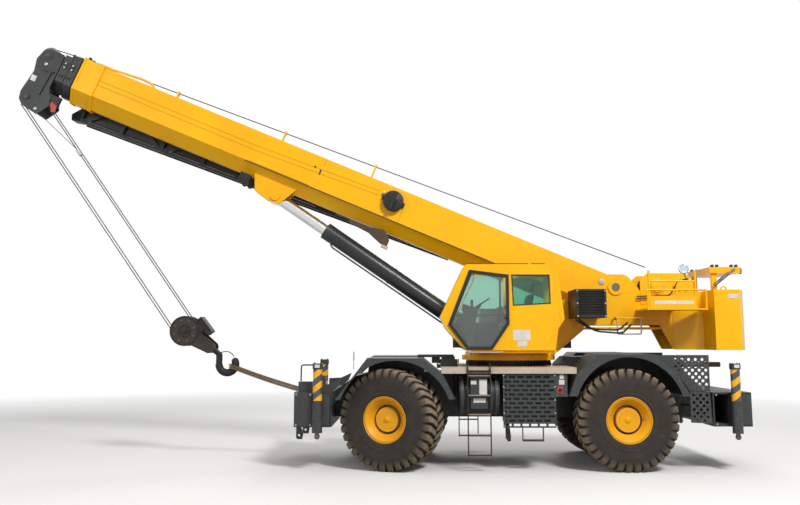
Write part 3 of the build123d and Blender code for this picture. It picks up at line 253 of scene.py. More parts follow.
labelVinyl = mouldedPlastic("printedVinylLabel", "#e4e3dd", 0.35, 2.0, 0.05)
redVinyl = mouldedPlastic("castRedVinyl", "#c01c1c", 0.35, 2.0, 0.05)
tyreRubber = curedRubber("curedTyreRubber", "#25201c", "#3f372f")
sealRubber = curedRubber("extrudedSealRubber", "#121212", "#26231f", 0.6, worn=False)
hoseRubber = curedRubber("wrappedHoseRubber", "#131313", "#2c2823", 0.5, worn=False)
chromedRod = groundSteel("groundChromedRod", "#d8d8d6", 0.14, (0.1, 1, 0.1), 0.06)
greasedSteel = groundSteel("greasedBareSteel", "#6d6963", 0.4, (1, 1, 1), 0.55)
zincSteel = groundSteel("zincPlatedSteel", "#a9a7a1", 0.38, (1, 1, 1), 0.25)
ropeSteel = groundSteel("drawnRopeSteel", "#57535c", 0.45, (1, 1, 1), 0.4)
hookSteel = weatheredSteel("forgedHookSteel", "#29231e", "#5a3d27", 0.55)
blockSteel = weatheredSteel("paintedBlockSteel", "#141211", "#2c2119", 0.4, 0.12)
exhaustSteel = weatheredSteel("heatDulledExhaustSteel", "#26221f", "#5a3d28", 0.4)
interiorPlastic = mouldedPlastic("mouldedCabPlastic", "#131414", 0.6)
redLens = mouldedPlastic("mouldedRedLens", "#b3120e", 0.15, 6.0, 0.1)
amberLens = mouldedPlastic("mouldedAmberLens", "#d9760b", 0.15, 6.0, 0.1)
cabGlazing = floatGlass("greenTintedFloatGlass", "#8fd0b8")
doorGlazing = floatGlass("clearFloatGlass", "#dfeae5")
mirrorFace = groundSteel("silveredMirrorGlass", "#d3dde4", 0.04, (1, 1, 1), 0.05)
slingCloth = wovenCloth("wovenSlingJacket", "#8f7352", "#4b3824", 6)
seatCloth = wovenCloth("wovenSeatCloth", "#1f2123", "#101112", 9, 0.3)
slots = {
    # the frame's material slots and the finishes that stand for each
    "yellow_paint": [yellowEnamel, paintedShadeYellow, rimEnamel, hazardBands],
    "grey_paint": [greyEnamel, boomGrey, paleEnamel, labelVinyl, redVinyl, redLens, amberLens],
    "black_paint": [blackEnamel, sealRubber, hoseRubber, blockSteel],
    "bare_steel": [zincSteel, greasedSteel, ropeSteel, hookSteel, mirrorFace],
    "engine_iron": [exhaustSteel],
    "cab_plastic": [interiorPlastic, seatCloth],
    "glass": [doorGlazing],
    "sling_webbing": [slingCloth],
    "tyre_rubber": [tyreRubber],
}
slotOf = {material: slot for slot, materials in slots.items() for material in materials}
print("materials made")


# mesh helpers: every shape is (points, faces), and several are joined into one piece

def gridFaces(rows, columns, closedRows=False, closedColumns=False):
    # point (row, column) is number row * columns + column; a closed way runs on from its last to its first
    r = np.arange(rows if closedRows else rows - 1)[:, None]
    c = np.arange(columns if closedColumns else columns - 1)[None, :]
    nextR, nextC = (r + 1) % rows, (c + 1) % columns
    return np.stack([r * columns + c, r * columns + nextC, nextR * columns + nextC, nextR * columns + c],
                    -1).reshape(-1, 4)


def gridShape(points, closedRows=False, closedColumns=False, caps=False):
    # a shape from a two-way grid of points, with its first and last row filled if it has caps
    rows, columns = points.shape[:2]
    faces = gridFaces(rows, columns, closedRows, closedColumns).tolist()
    if caps:
        faces += [list(range(columns))[::-1], list(range((rows - 1) * columns, rows * columns))]
    return points.reshape(-1, 3), faces


def joined(shapes):
    # several shapes as one, the faces of each counting on from the points before it
    points, faces, start = [], [], 0
    for p, f in shapes:
        points.append(np.asarray(p, float))
        faces += [[i + start for i in face] for face in f]
        start += len(p)
    return np.concatenate(points), faces


def frameOf(axis):
    # the axis at length one, and two ways square to it and to each other
    axis = np.asarray(axis, float) / np.linalg.norm(axis)
    side = np.cross(axis, (0, 0, 1) if abs(axis[2]) < 0.9 else (1, 0, 0))
    side /= np.linalg.norm(side)
    return axis, side, np.cross(axis, side)


def turned(profile, centre, axis=(0, 1, 0), count=48, looped=False):
    # a profile of (distance along the axis, radius) turned once round it: centre + distance * axis
    # + radius * (u cos t + v sin t); a looped profile closes on itself
    axis, u, v = frameOf(axis)
    profile = np.asarray(profile, float)
    turn = np.linspace(0, 2 * math.pi, count, endpoint=False)
    ring = np.cos(turn)[:, None] * u + np.sin(turn)[:, None] * v
    points = np.asarray(centre, float) + profile[:, None, :1] * axis + profile[:, None, 1:] * ring[None]
    return gridShape(points, closedRows=looped, closedColumns=True, caps=not looped)


def rodShape(a, b, radius, count=16):
    # a round bar from one point to another
    a, b = np.asarray(a, float), np.asarray(b, float)
    return turned([(0, radius), (np.linalg.norm(b - a), radius)], a, b - a, count)


def boxShape(x0, x1, y0, y1, z0, z1):
    # a plain block, for plates, labels and brackets
    points = [(x, y, z) for x in (x0, x1) for y in (y0, y1) for z in (z0, z1)]
    return np.array(points, float), [[0, 1, 3, 2], [4, 6, 7, 5], [0, 4, 5, 1], [2, 3, 7, 6], [0, 2, 6, 4],
                                     [1, 5, 7, 3]]


def slabShape(outline, y0, y1):
    # an outline of (x, z) points between two widths
    flat = np.array([(x, y, z) for y in (y0, y1) for x, z in outline], float)
    n = len(outline)
    sides = [[i, (i + 1) % n, n + (i + 1) % n, n + i] for i in range(n)]
    return flat, sides + [list(range(n))[::-1], list(range(n, 2 * n))]


def boltShapes(centres, axis, across, height):
    # hexagon heads on washers: one small template moved to each centre; the washer is 0.175 of the height
    axis, u, v = frameOf(axis)
    turn = np.linspace(0, 2 * math.pi, 6, endpoint=False)
    ring = np.cos(turn)[:, None] * u + np.sin(turn)[:, None] * v
    washer = height * 0.175
    levels = [(0, across * 0.72), (washer, across * 0.72), (washer, across * 0.5), (height, across * 0.5)]
    template = np.concatenate([ring * r + axis * h for h, r in levels])
    faces = gridFaces(4, 6, closedColumns=True).tolist() + [list(range(18, 24))]
    return joined([(template + np.asarray(c, float), faces) for c in centres])


def tubeShape(path, radius, sides=10, closed=True):
    # a round section carried along a path: path + radius * (u cos t + v sin t), u and v square to the path
    path = np.asarray(path, float)
    tangents = np.gradient(path, axis=0)
    tangents /= np.linalg.norm(tangents, axis=1)[:, None]
    guide = np.array([0, 0, 1.0]) if abs(tangents[:, 2]).max() < 0.95 else np.array([0.3, 1.0, 0.1])
    u = np.cross(tangents, guide)
    u /= np.linalg.norm(u, axis=1)[:, None]
    v = np.cross(tangents, u)
    turn = np.linspace(0, 2 * math.pi, sides, endpoint=False)
    radius = np.broadcast_to(np.asarray(radius, float), (len(path),))[:, None, None]
    ring = np.cos(turn)[None, :, None] * u[:, None] + np.sin(turn)[None, :, None] * v[:, None]
    return gridShape(path[:, None] + radius * ring, closedColumns=True, caps=closed)


def smoothPath(points, count=24):
    # a Catmull-Rom curve through the points
    p = np.asarray(points, float)
    p = np.vstack([2 * p[0] - p[1], p, 2 * p[-1] - p[-2]])
    t = np.linspace(0, 1, count, endpoint=False)[:, None]
    parts = []
    for a, b, c, d in zip(p[:-3], p[1:-2], p[2:-1], p[3:]):
        parts.append(0.5 * (2 * b + (c - a) * t + (2 * a - 5 * b + 4 * c - d) * t ** 2
                            + (3 * b - a - 3 * c + d) * t ** 3))
    return np.vstack(parts + [p[-2:-1]])


def bentPath(points, bend, count=8):
    # straight runs with each corner b rounded by (1 - t)^2 before + 2 t (1 - t) b + t^2 after
    p = [np.asarray(q, float) for q in points]
    out = [p[0]]
    for a, b, c in zip(p[:-2], p[1:-1], p[2:]):
        before = b + (a - b) / np.linalg.norm(a - b) * min(bend, np.linalg.norm(a - b) * 0.45)
        after = b + (c - b) / np.linalg.norm(c - b) * min(bend, np.linalg.norm(c - b) * 0.45)
        t = np.linspace(0, 1, count)[:, None]
        out += list((1 - t) ** 2 * before + 2 * t * (1 - t) * b + t ** 2 * after)
    return np.array(out + [p[-1]])


def addPiece(name, shape, material, body, bevel=0.0, smooth=38, replaces=(), wear=None, slot=None):
    # a mesh object in the crane's frame. Its corners of more than 40 degrees are rounded by bevel, and the
    # shading breaks at those of more than smooth degrees. wear is a number for each point that its material
    # reads. slot is not used
    points, faces = shape
    mesh = bpy.data.meshes.new(name)
    mesh.from_pydata((points + np.array([originX, 0, 0])).tolist(), [], [list(map(int, f)) for f in faces])
    bm = bmesh.new()
    bm.from_mesh(mesh)
    bmesh.ops.recalc_face_normals(bm, faces=bm.faces)
    bm.to_mesh(mesh)
    bm.free()
    mesh.materials.append(material)
    if wear is not None:
        mesh.attributes.new("wear", "FLOAT", "POINT").data.foreach_set("value", np.asarray(wear, np.float32))
    mesh.shade_smooth()
    mesh.set_sharp_from_angle(angle=math.radians(smooth))
    piece = bpy.data.objects.new(name, mesh)
    bpy.context.scene.collection.objects.link(piece)
    if bevel:
        rounding = piece.modifiers.new("edges", "BEVEL")
        rounding.width, rounding.segments, rounding.limit_method = bevel, 2, "ANGLE"
        rounding.angle_limit = math.radians(40)
        rounding.use_clamp_overlap = True
    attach(piece, body)
    slot or slotOf[material]
    if replaces:
        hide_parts(*replaces)
    return piece


def onBoom(points):
    # (along the boom a, across y, out from it n) to the crane's own: x = pivot - a cos + n sin, y as it is,
    # z = pivot + a sin + n cos
    points = np.asarray(points, float).reshape(-1, 3)
    c, s = math.cos(boom["angle"]), math.sin(boom["angle"])
    a, y, n = points.T
    return np.stack([boom["pivot"][0] - a * c + n * s, y, boom["pivot"][1] + a * s + n * c], 1)


def shapeOnBoom(shape):
    # a shape in the boom's frame, moved to the crane's
    return onBoom(shape[0]), shape[1]


# wheels

wheel = {
    # name, x of the axle, side, degrees steered
    "corners": [("fl", -1.93, -1, -22.0), ("fr", -1.93, 1, -22.0), ("rl", 2.13, -1, 0.0),
                ("rr", 2.13, 1, 0.0)],
    "kingpinY": 1.035, "inset": 0.255, "hubZ": 0.888,
    "lugCount": 34, "lugSlant": 0.136, "ringSteps": 120,
    # carcass from the inner bead over the tread: (distance outboard, radius)
    "sidewall": [(0.300, 0.352), (0.328, 0.375), (0.336, 0.405), (0.346, 0.428), (0.354, 0.434),
                 (0.358, 0.448), (0.360, 0.500), (0.366, 0.520), (0.366, 0.536), (0.362, 0.544),
                 (0.368, 0.600), (0.371, 0.660), (0.369, 0.700), (0.364, 0.722), (0.352, 0.760),
                 (0.330, 0.800), (0.290, 0.830), (0.200, 0.839)],
    # each lug from the middle of the tread to the shoulder and down the side: (distance outboard, radius of
    # its foot, radius of its top, half its width, how far along its slant, how much clay it carries)
    "lug": [(0.016, 0.833, 0.880, 0.034, 0.0, 1.0), (0.060, 0.835, 0.887, 0.047, 0.15, 1.0),
            (0.150, 0.836, 0.888, 0.052, 0.45, 1.0), (0.250, 0.830, 0.887, 0.056, 0.80, 1.0),
            (0.318, 0.806, 0.878, 0.058, 1.0, 0.9), (0.352, 0.762, 0.846, 0.058, 1.05, 0.5),
            (0.366, 0.722, 0.790, 0.055, 1.05, 0.25), (0.366, 0.690, 0.730, 0.046, 1.05, 0.05)],
}


def wheelPlace(corner, flat):
    # (distance outboard, forward, up) in the wheel's own frame to the crane's
    name, axleX, side, steer = corner
    a = math.radians(steer)
    out = np.array([-math.sin(a) * side, math.cos(a) * side, 0])
    ahead = np.array([math.cos(a), math.sin(a), 0])
    centre = np.array([axleX, side * wheel["kingpinY"], wheel["hubZ"]]) + out * wheel["inset"]
    flat = np.asarray(flat, float).reshape(-1, 3)
    return centre + flat[:, :1] * out + flat[:, 1:2] * ahead + flat[:, 2:] * np.array([0, 0, 1])


def tyreShape():
    # a ring turned from the sidewall profile, (x, r cos t, r sin t), with 2 x lugCount bars; a lug is a grid
    # of stations along it by six points across it, at the angle start + slant + half width * share / r
    side = np.array(wheel["sidewall"])
    fine = np.concatenate([np.linspace(a, b, 3, endpoint=False) for a, b in zip(side[:-1], side[1:])]
                          + [side[-1:]])
    profile = np.concatenate([fine * (-1, 1), fine[::-1]])
    steps = wheel["ringSteps"]
    turn = np.linspace(0, 2 * math.pi, steps, endpoint=False)
    ring = np.stack([np.broadcast_to(profile[:, :1], (len(profile), steps)), profile[:, 1:] * np.cos(turn),
                     profile[:, 1:] * np.sin(turn)], -1)
    shapes = [gridShape(ring, closedRows=True, closedColumns=True)]
    wear = [np.zeros(ring.shape[0] * ring.shape[1])]
    out, foot, top, half, slant, clay = np.array(wheel["lug"]).T
    across = np.array([-1.18, -1.0, -0.72, 0.72, 1.0, 1.18])          # share of the half width
    height = np.array([0.0, 0.75, 1.0, 1.0, 0.75, 0.0])               # share of the lug's height
    radius = foot[:, None] + (top - foot)[:, None] * height[None]
    for sign in (-1, 1):
        start = (np.arange(wheel["lugCount"]) + (0.5 if sign > 0 else 0)) * 2 * math.pi / wheel["lugCount"]
        angle = (start[:, None, None] + (slant * wheel["lugSlant"])[None, :, None]
                 + (half[:, None] * across[None] / radius)[None])
        r = np.broadcast_to(radius, angle.shape)
        points = np.stack([np.broadcast_to(sign * out[None, :, None], angle.shape), r * np.cos(angle),
                           r * np.sin(angle)], -1)
        shapes += [gridShape(lug, caps=True) for lug in points]
        wear.append(np.tile((clay[:, None] * (height > 0.9)[None]).ravel(), len(points)))
    return joined(shapes) + (np.concatenate(wear),)


tyrePoints, tyreFaces, tyreWear = tyreShape()
for corner in wheel["corners"]:
    name = corner[0]
    addPiece(f"tyreTread_{name}", (wheelPlace(corner, tyrePoints), tyreFaces), tyreRubber, f"wheel_{name}",
             smooth=32, replaces=[f"tyre_{name}"], wear=tyreWear)
print("tyres made")

rimTrim = {
    "hubBolts": 16, "hubBoltRadius": 0.150, "hubFace": 0.2235,
    # the ring at the gap's floor and the lip on the hub face are dark rubber: painted shade in the gap
    # between the wheel disc and the hub
    "gapRadii": (0.2275, 0.2525), "gapFloor": 0.114, "gapDeep": 0.045, "lipRadii": (0.213, 0.2262),
    "lipProud": 0.0015,
    # profiles as (distance outboard, radius), and the valve's path as (outboard, forward, up)
    "hubCap": [(0.222, 0.052), (0.238, 0.049), (0.244, 0.040), (0.246, 0.0)],
    "lockRing": [(0.330, 0.408), (0.340, 0.406), (0.343, 0.396), (0.336, 0.388), (0.326, 0.390)],
    "valve": [(0.215, 0.262, 0.03), (0.245, 0.275, 0.032), (0.262, 0.30, 0.035), (0.270, 0.325, 0.037)],
}


def circleOf(count, radius, out):
    # (out, radius * cos t, radius * sin t) at count even steps of t
    turn = np.arange(count) * 2 * math.pi / count
    return np.stack([np.full(count, out), radius * np.cos(turn), radius * np.sin(turn)], 1)


def ringShape(out0, out1, inner, outer, count=80):
    # a square-edged ring round the wheel's axis
    return turned([(out0, inner), (out1, inner), (out1, outer), (out0, outer)], (0, 0, 0), (1, 0, 0), count,
                  looped=True)


def onWheel(corner, shape):
    # a shape in the wheel's own frame, moved to the crane's
    return wheelPlace(corner, shape[0]), shape[1]


for corner in wheel["corners"]:
    name, body, face, deep = corner[0], f"wheel_{corner[0]}", rimTrim["hubFace"], rimTrim["gapFloor"]
    bolts = boltShapes(circleOf(rimTrim["hubBolts"], rimTrim["hubBoltRadius"], face), (1, 0, 0), 0.016,
                       0.008)
    addPiece(f"hubBolts_{name}", onWheel(corner, bolts), rimEnamel, body, smooth=20)
    cap = turned(rimTrim["hubCap"], (0, 0, 0), (1, 0, 0), 40)
    lock = turned(rimTrim["lockRing"], (0, 0, 0), (1, 0, 0), 96, looped=True)
    addPiece(f"rimLockRing_{name}", onWheel(corner, joined([cap, lock])), rimEnamel, body)
    # a dark ring at the floor of the gap and a thin dark lip on the hub face: painted shade in the gap round
    # the hub
    gapShade = joined([ringShape(deep, deep + rimTrim["gapDeep"], *rimTrim["gapRadii"]),
                   ringShape(face, face + rimTrim["lipProud"], *rimTrim["lipRadii"])])
    addPiece(f"paintedGapShade_{name}", onWheel(corner, gapShade), sealRubber, body)
    stem = tubeShape(wheelPlace(corner, smoothPath(rimTrim["valve"], 6)), 0.008)
    addPiece(f"valveStem_{name}", stem, zincSteel, body)
print("rims trimmed")


# outriggers

jack = {
    # name, its middle's x, side; the tube's middle is at y and its radius is below
    "places": [("front_left", -3.333, -1), ("front_right", -3.522, 1), ("rear_left", 4.015, -1),
               ("rear_right", 3.945, 1)],
    "y": 1.600, "tube": 0.080, "bandsFrom": 1.222, "bandsTo": 1.772, "capTop": 1.870,
    "label": (1.795, 1.852), "labelOut": 0.1015, "collars": (1.203, 1.776),
    "collar": [(0, 0.081), (0, 0.090), (0.018, 0.090), (0.018, 0.081)],      # (up, radius)
}
for name, x, side in jack["places"]:
    body, y, radius = f"beam_{name}", side * jack["y"], jack["tube"]
    long = jack["bandsTo"] - jack["bandsFrom"]
    sleeve = turned([(0, radius), (long, radius), (long, radius + 0.0015), (0, radius + 0.0015)],
                    (x, y, jack["bandsFrom"]), (0, 0, 1), 48, looped=True)
    addPiece(f"warningBands_{name}", sleeve, hazardBands, body)
    face, (z0, z1) = y + side * jack["labelOut"], jack["label"]
    plate = boxShape(x - 0.045, x + 0.045, *sorted((face, face + side * 0.002)), z0, z1)
    addPiece(f"jackLabel_{name}", plate, labelVinyl, body, bevel=0.0008)
    collars = joined([turned(jack["collar"], (x, y, z), (0, 0, 1), 40, looped=True)
                      for z in jack["collars"]])
    heads = boltShapes([(x + dx, y + dy, jack["capTop"] - 0.001) for dx in (-0.06, 0.06)
                        for dy in (-0.06, 0.06)], (0, 0, 1), 0.024, 0.012)
    addPiece(f"jackCollars_{name}", joined([collars, heads]), greyEnamel, body, smooth=25)
guideTube = {"from": (-3.425, -1.6, 1.842), "corner": (-3.625, -1.6, 1.842), "to": (-3.625, -1.6, 1.56),
             "radius": 0.013}
hoop = bentPath([guideTube["from"], guideTube["corner"], guideTube["to"]], 0.05)
addPiece("hoseGuideTube", tubeShape(hoop, guideTube["radius"], 12), greyEnamel, "beam_front_left")
print("outriggers dressed")


# cab: the door's frame and pane, seals, labels, rails, and the room inside

cab = {
    "left": -1.455, "right": -0.610, "floor": 2.135,
    "door": [(-0.63, 3.54), (0.087, 3.45), (0.086, 2.56), (-0.226, 2.105), (-0.684, 2.105), (-1.02, 2.55)],
    "pane": [(-0.59, 3.48), (0.04, 3.40), (0.04, 2.575), (-0.25, 2.15), (-0.66, 2.15), (-0.965, 2.555)],
    "rearWindow": [(0.139, 3.442), (0.816, 3.442), (0.825, 2.931), (0.161, 2.896)],
    # rails as (x, distance inwards of the wall, z)
    "grab": [(-0.545, 0.045, 3.40), (-0.545, 0.10, 3.36), (-0.800, 0.10, 2.82), (-0.840, 0.045, 2.80)],
    "stepRail": [(-0.70, -0.010, 2.105), (-0.66, -0.055, 2.064), (-0.05, -0.055, 2.064),
                 (-0.02, -0.010, 2.105)],
    "roofSlots": [(-0.66, -0.40), (-0.34, 0.44), (0.50, 0.74)],           # x from, x to
}


def insetOutline(points, by):
    # each side moved inwards by a distance, and the corners where the moved sides meet
    p = np.asarray(points, float)
    turn = np.sign(np.sum(p[:, 0] * np.roll(p[:, 1], -1) - np.roll(p[:, 0], -1) * p[:, 1]))
    run = np.roll(p, -1, 0) - p
    normal = np.stack([-run[:, 1], run[:, 0]], 1) / np.linalg.norm(run, axis=1)[:, None] * turn
    start = p + normal * by
    before, runBefore = np.roll(start, 1, 0), np.roll(run, 1, 0)
    cross = runBefore[:, 0] * run[:, 1] - runBefore[:, 1] * run[:, 0]
    gap = start - before
    share = (gap[:, 0] * run[:, 1] - gap[:, 1] * run[:, 0]) / cross
    return before + runBefore * share[:, None]


def frameShape(outer, inner, y0, y1):
    # the flat ring between two outlines of as many corners, with its edges, from one width to another
    outer, inner = np.asarray(outer, float), np.asarray(inner, float)
    loops = [(outer, y0), (outer, y1), (inner, y1), (inner, y0)]
    points = np.stack([np.stack([line[:, 0], np.full(len(line), y), line[:, 1]], 1) for line, y in loops])
    return gridShape(points, closedRows=True, closedColumns=True)


outside = cab["left"]
doorFront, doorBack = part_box("cab_door")[0][1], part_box("cab_door")[1][1]    # it slides outside the wall
doorEdge = insetOutline(cab["door"], 0.003)
addPiece("doorFrame", frameShape(doorEdge, cab["pane"], doorFront, doorBack - 0.004), blackEnamel,
         "cab_door", bevel=0.006, replaces=["cab_door"])
# the pane lies behind the frame and 10 mm into it, and its seal covers the joint
addPiece("doorPane", slabShape(insetOutline(cab["pane"], -0.010), doorFront + 0.016, doorFront + 0.022),
         doorGlazing, "cab_door")
addPiece("doorSeal", frameShape(insetOutline(cab["pane"], -0.004), insetOutline(cab["pane"], 0.016),
                                doorFront - 0.002, doorFront + 0.010), sealRubber, "cab_door", bevel=0.004)
grab = bentPath([(x, outside + y, z) for x, y, z in cab["grab"]], 0.04)
addPiece("cabGrabBar", tubeShape(grab, 0.011), yellowEnamel, "superstructure")
handle = joined([boxShape(-0.005, 0.075, doorFront - 0.010, doorFront + 0.004, 2.66, 2.70),
                 boxShape(0.010, 0.060, doorFront - 0.022, doorFront - 0.010, 2.668, 2.692)])
addPiece("doorHandle", handle, blackEnamel, "cab_door", bevel=0.004)
window = cab["rearWindow"]
addPiece("rearWindowSeal", frameShape(insetOutline(window, -0.012), insetOutline(window, 0.014),
                                      outside - 0.001, outside + 0.008), sealRubber, "superstructure",
         bevel=0.004)
labels = {
    # name: (x from, x to, z from, z to) on the cab's left side
    "cabLabelLarge": (0.148, 0.455, 2.273, 2.455), "cabLabelSmall": (0.225, 0.395, 2.165, 2.262),
}
for name, (x0, x1, z0, z1) in labels.items():
    addPiece(name, boxShape(x0, x1, outside - 0.0025, outside - 0.0005, z0, z1), labelVinyl,
             "superstructure", bevel=0.0008, slot="yellow_paint")
seams = [
    # a folded panel's edge from one (x, z) to the next on the cab's left side
    [(0.905, 3.585), (0.945, 3.48), (1.030, 2.66), (0.860, 2.30), (0.700, 2.11)],
    [(0.862, 3.57), (0.900, 3.48), (0.985, 2.66), (0.815, 2.30), (0.660, 2.11)],
]
for i, line in enumerate(seams):
    path = bentPath([(x, outside - 0.001, z) for x, z in line], 0.06)
    addPiece(f"cabFold_{i}", tubeShape(path, 0.0055, 8), yellowEnamel, "superstructure")
roofSlots = joined([boxShape(a, b, outside + 0.010, outside + 0.030, 3.640, 3.655)
                    for a, b in cab["roofSlots"]])
addPiece("roofSlots", roofSlots, sealRubber, "superstructure", bevel=0.003)
sill = joined([boxShape(-0.20, 0.62, outside - 0.0025, outside - 0.0005, 2.098, 2.112)])
addPiece("cabSill", sill, yellowEnamel, "superstructure", bevel=0.004)
rail = bentPath([(x, outside + y, z) for x, y, z in cab["stepRail"]], 0.03)
addPiece("stepRail", tubeShape(rail, 0.010), zincSteel, "superstructure")


def crownedPad(x0, x1, y0, y1, z0, z1, crown, rows=25, columns=25):
    # a cushion from u and v, both -1 to 1: a rounded square in plan, its height the curve
    # ((1 - u^6) (1 - v^6))^0.34 that falls to the sides, with a sewn channel at v = -0.5 and 0.5
    u = np.linspace(-1, 1, rows)[:, None]
    v = np.linspace(-1, 1, columns)[None, :]
    pull = (1 - 0.035 * (1 - np.abs(u)) ** 0.5 * (np.abs(v) > 0.96)
            - 0.035 * (1 - np.abs(v)) ** 0.5 * (np.abs(u) > 0.96))
    fall = ((1 - np.abs(u) ** 6) * (1 - np.abs(v) ** 6)) ** 0.34
    channel = sum(np.exp(-((v - c) / 0.05) ** 2) for c in (-0.5, 0.5)) * 0.16
    x = (x0 + x1) / 2 + (x1 - x0) / 2 * u * pull
    y = (y0 + y1) / 2 + (y1 - y0) / 2 * v * pull
    top = z0 + (z1 - z0) * (0.45 + 0.55 * fall) + crown * fall * (1 - channel * 4)
    upper = np.stack([x + 0 * v, y + 0 * u, top + 0 * u * v], -1)
    lower = np.stack([x + 0 * v, y + 0 * u, np.full((rows, columns), z0)], -1)
    n = rows * columns
    upperFaces = gridFaces(rows, columns)
    lowerFaces = upperFaces[:, ::-1] + n
    # the points round the edge: the first row, the last column, the last row and the first column
    edge = np.concatenate([np.arange(columns), np.arange(1, rows) * columns + columns - 1,
                           (rows - 1) * columns + np.arange(columns - 2, -1, -1),
                           np.arange(rows - 2, 0, -1) * columns])
    after = np.roll(edge, -1)
    sides = np.stack([edge, edge + n, after + n, after], 1)
    return (np.concatenate([upper.reshape(-1, 3), lower.reshape(-1, 3)]),
            upperFaces.tolist() + lowerFaces.tolist() + sides.tolist())


def tipped(shape, pivot, degrees):
    # turned in the x-z plane about a point: x cos a + z sin a, and z cos a - x sin a
    points, faces = shape
    a = math.radians(degrees)
    x, z = points[:, 0] - pivot[0], points[:, 2] - pivot[1]
    return np.stack([pivot[0] + x * math.cos(a) + z * math.sin(a), points[:, 1],
                     pivot[1] - x * math.sin(a) + z * math.cos(a)], 1), faces


seat = {"y": -1.0325, "half": 0.245, "x": (-0.06, 0.44), "base": 2.470, "pad": 0.105,
        "hinge": (0.44, 2.50), "back": 0.62, "backPad": 0.095, "head": (0.66, 0.84), "headHalf": 0.13,
        "headPad": 0.075, "lean": -78}
middle, hinge = seat["y"], seat["hinge"]
y0, y1 = middle - seat["half"], middle + seat["half"]
pads = {
    # name: its cushion, and the degrees it leans back from the hinge
    "seatCushion": (crownedPad(*seat["x"], y0, y1, seat["base"], seat["base"] + seat["pad"], 0.02), 0),
    "seatBackrest": (crownedPad(hinge[0], hinge[0] + seat["back"], y0 + 0.02, y1 - 0.02, hinge[1],
                                hinge[1] + seat["backPad"], 0.02), seat["lean"]),
    "seatHeadrest": (crownedPad(hinge[0] + seat["head"][0], hinge[0] + seat["head"][1],
                                middle - seat["headHalf"], middle + seat["headHalf"], hinge[1],
                                hinge[1] + seat["headPad"], 0.012), seat["lean"]),
}
for name, (pad, lean) in pads.items():
    cushion = addPiece(name, tipped(pad, hinge, lean) if lean else pad, seatCloth, "superstructure",
                       smooth=60)
fittings = {
    # x from, x to, z from, z to; heights are above the cab's floor and sides are measured from the seat
    "rest": (-0.04, 0.38, 0.40, 0.56), "restOut": 0.300, "restHalf": 0.045,
    "bracket": (0.10, 0.30, 0.30, 0.41), "bracketOut": (0.20, 0.31),
    "pedestal": (0.06, 0.36), "pedestalHalf": 0.15, "plate": (-0.05, 0.44), "plateThick": 0.02,
    # outlines of (x, z)
    "console": [(-0.64, 0.0003), (-0.56, 0.0003), (-0.47, 0.64), (-0.70, 0.70), (-0.78, 0.50)],
    "consoleHalf": 0.20,
    "dash": [(-0.74, 0.68), (-0.48, 0.62), (-0.46, 0.70), (-0.72, 0.80)], "dashHalf": 0.23,
}
floorZ, rests, brackets = cab["floor"], [], []
x0, x1, z0, z1 = fittings["rest"]
x2, x3, z2, z3 = fittings["bracket"]
for s in (-1, 1):
    out, half = middle + s * fittings["restOut"], fittings["restHalf"]
    rests.append(boxShape(x0, x1, out - half, out + half, floorZ + z0, floorZ + z1))
    ends = sorted(middle + s * out for out in fittings["bracketOut"])
    brackets.append(boxShape(x2, x3, *ends, floorZ + z2, floorZ + z3))
console, dash = [[(x, floorZ + z) for x, z in fittings[part]] for part in ("console", "dash")]
under, half = seat["base"] - fittings["plateThick"], fittings["pedestalHalf"]
cabFittings = joined([
    boxShape(*fittings["pedestal"], middle - half, middle + half, floorZ + 0.0003, under),
    boxShape(*fittings["plate"], y0, y1, under, seat["base"]),
    *rests, *brackets,
    slabShape(console, middle - fittings["consoleHalf"], middle + fittings["consoleHalf"]),
    slabShape(dash, middle - fittings["dashHalf"], middle + fittings["dashHalf"])])
addPiece("cabFittings", cabFittings, interiorPlastic, "superstructure", bevel=0.012,
         replaces=["cab_interior"])
controls = {
    "wheelX": -0.40, "wheelZ": 0.80, "wheelRadius": 0.19, "tilt": math.radians(32), "rim": 0.014,
    "columnX": -0.62, "columnZ": 0.45, "column": 0.028, "spoke": 0.011,
    # levers as (side, x), and a knob as (distance up, radius)
    "levers": [(-1, -0.01), (1, -0.01), (-1, 0.07), (1, 0.07)], "leverOut": 0.30, "leverZ": 0.55,
    "lever": 0.008, "knob": [(0, 0.010), (0.015, 0.020), (0.040, 0.024), (0.066, 0.016), (0.070, 0.0)],
}
rim = math.pi * 2 * np.arange(49) / 48
radius, tilt = controls["wheelRadius"], controls["tilt"]
wheelCentre = np.array([controls["wheelX"], middle, floorZ + controls["wheelZ"]])
# a circle of radius r tilted by a: (r cos t cos a, r sin t, r cos t sin a)
hoopPath = wheelCentre + np.stack([radius * np.cos(rim) * math.cos(tilt), radius * np.sin(rim),
                                   radius * np.cos(rim) * math.sin(tilt)], 1)
columnFoot = (controls["columnX"], middle, floorZ + controls["columnZ"])
column = rodShape(columnFoot, wheelCentre, controls["column"])
spokes = [rodShape(wheelCentre, hoopPath[i], controls["spoke"], 8) for i in (0, 16, 32)]
levers = []
for s, x in controls["levers"]:
    foot = np.array([x, middle + s * controls["leverOut"], floorZ + controls["leverZ"]])
    levers += [rodShape(foot, foot + (-0.03, 0, 0.15), controls["lever"], 10),
               turned(controls["knob"], foot + (-0.03, 0, 0.14), (-0.2, 0, 1), 16)]
hoop = tubeShape(hoopPath, controls["rim"], 10, closed=False)
addPiece("cabControls", joined([hoop, column, *spokes, *levers]), sealRubber, "superstructure",
         slot="cab_plastic")
screen = boxShape(-0.60, -0.56, middle - 0.42, middle - 0.26, floorZ + 0.72, floorZ + 0.86)
addPiece("cabScreen", screen, interiorPlastic, "superstructure", bevel=0.008)
left, right, gap = cab["left"], cab["right"], 0.060
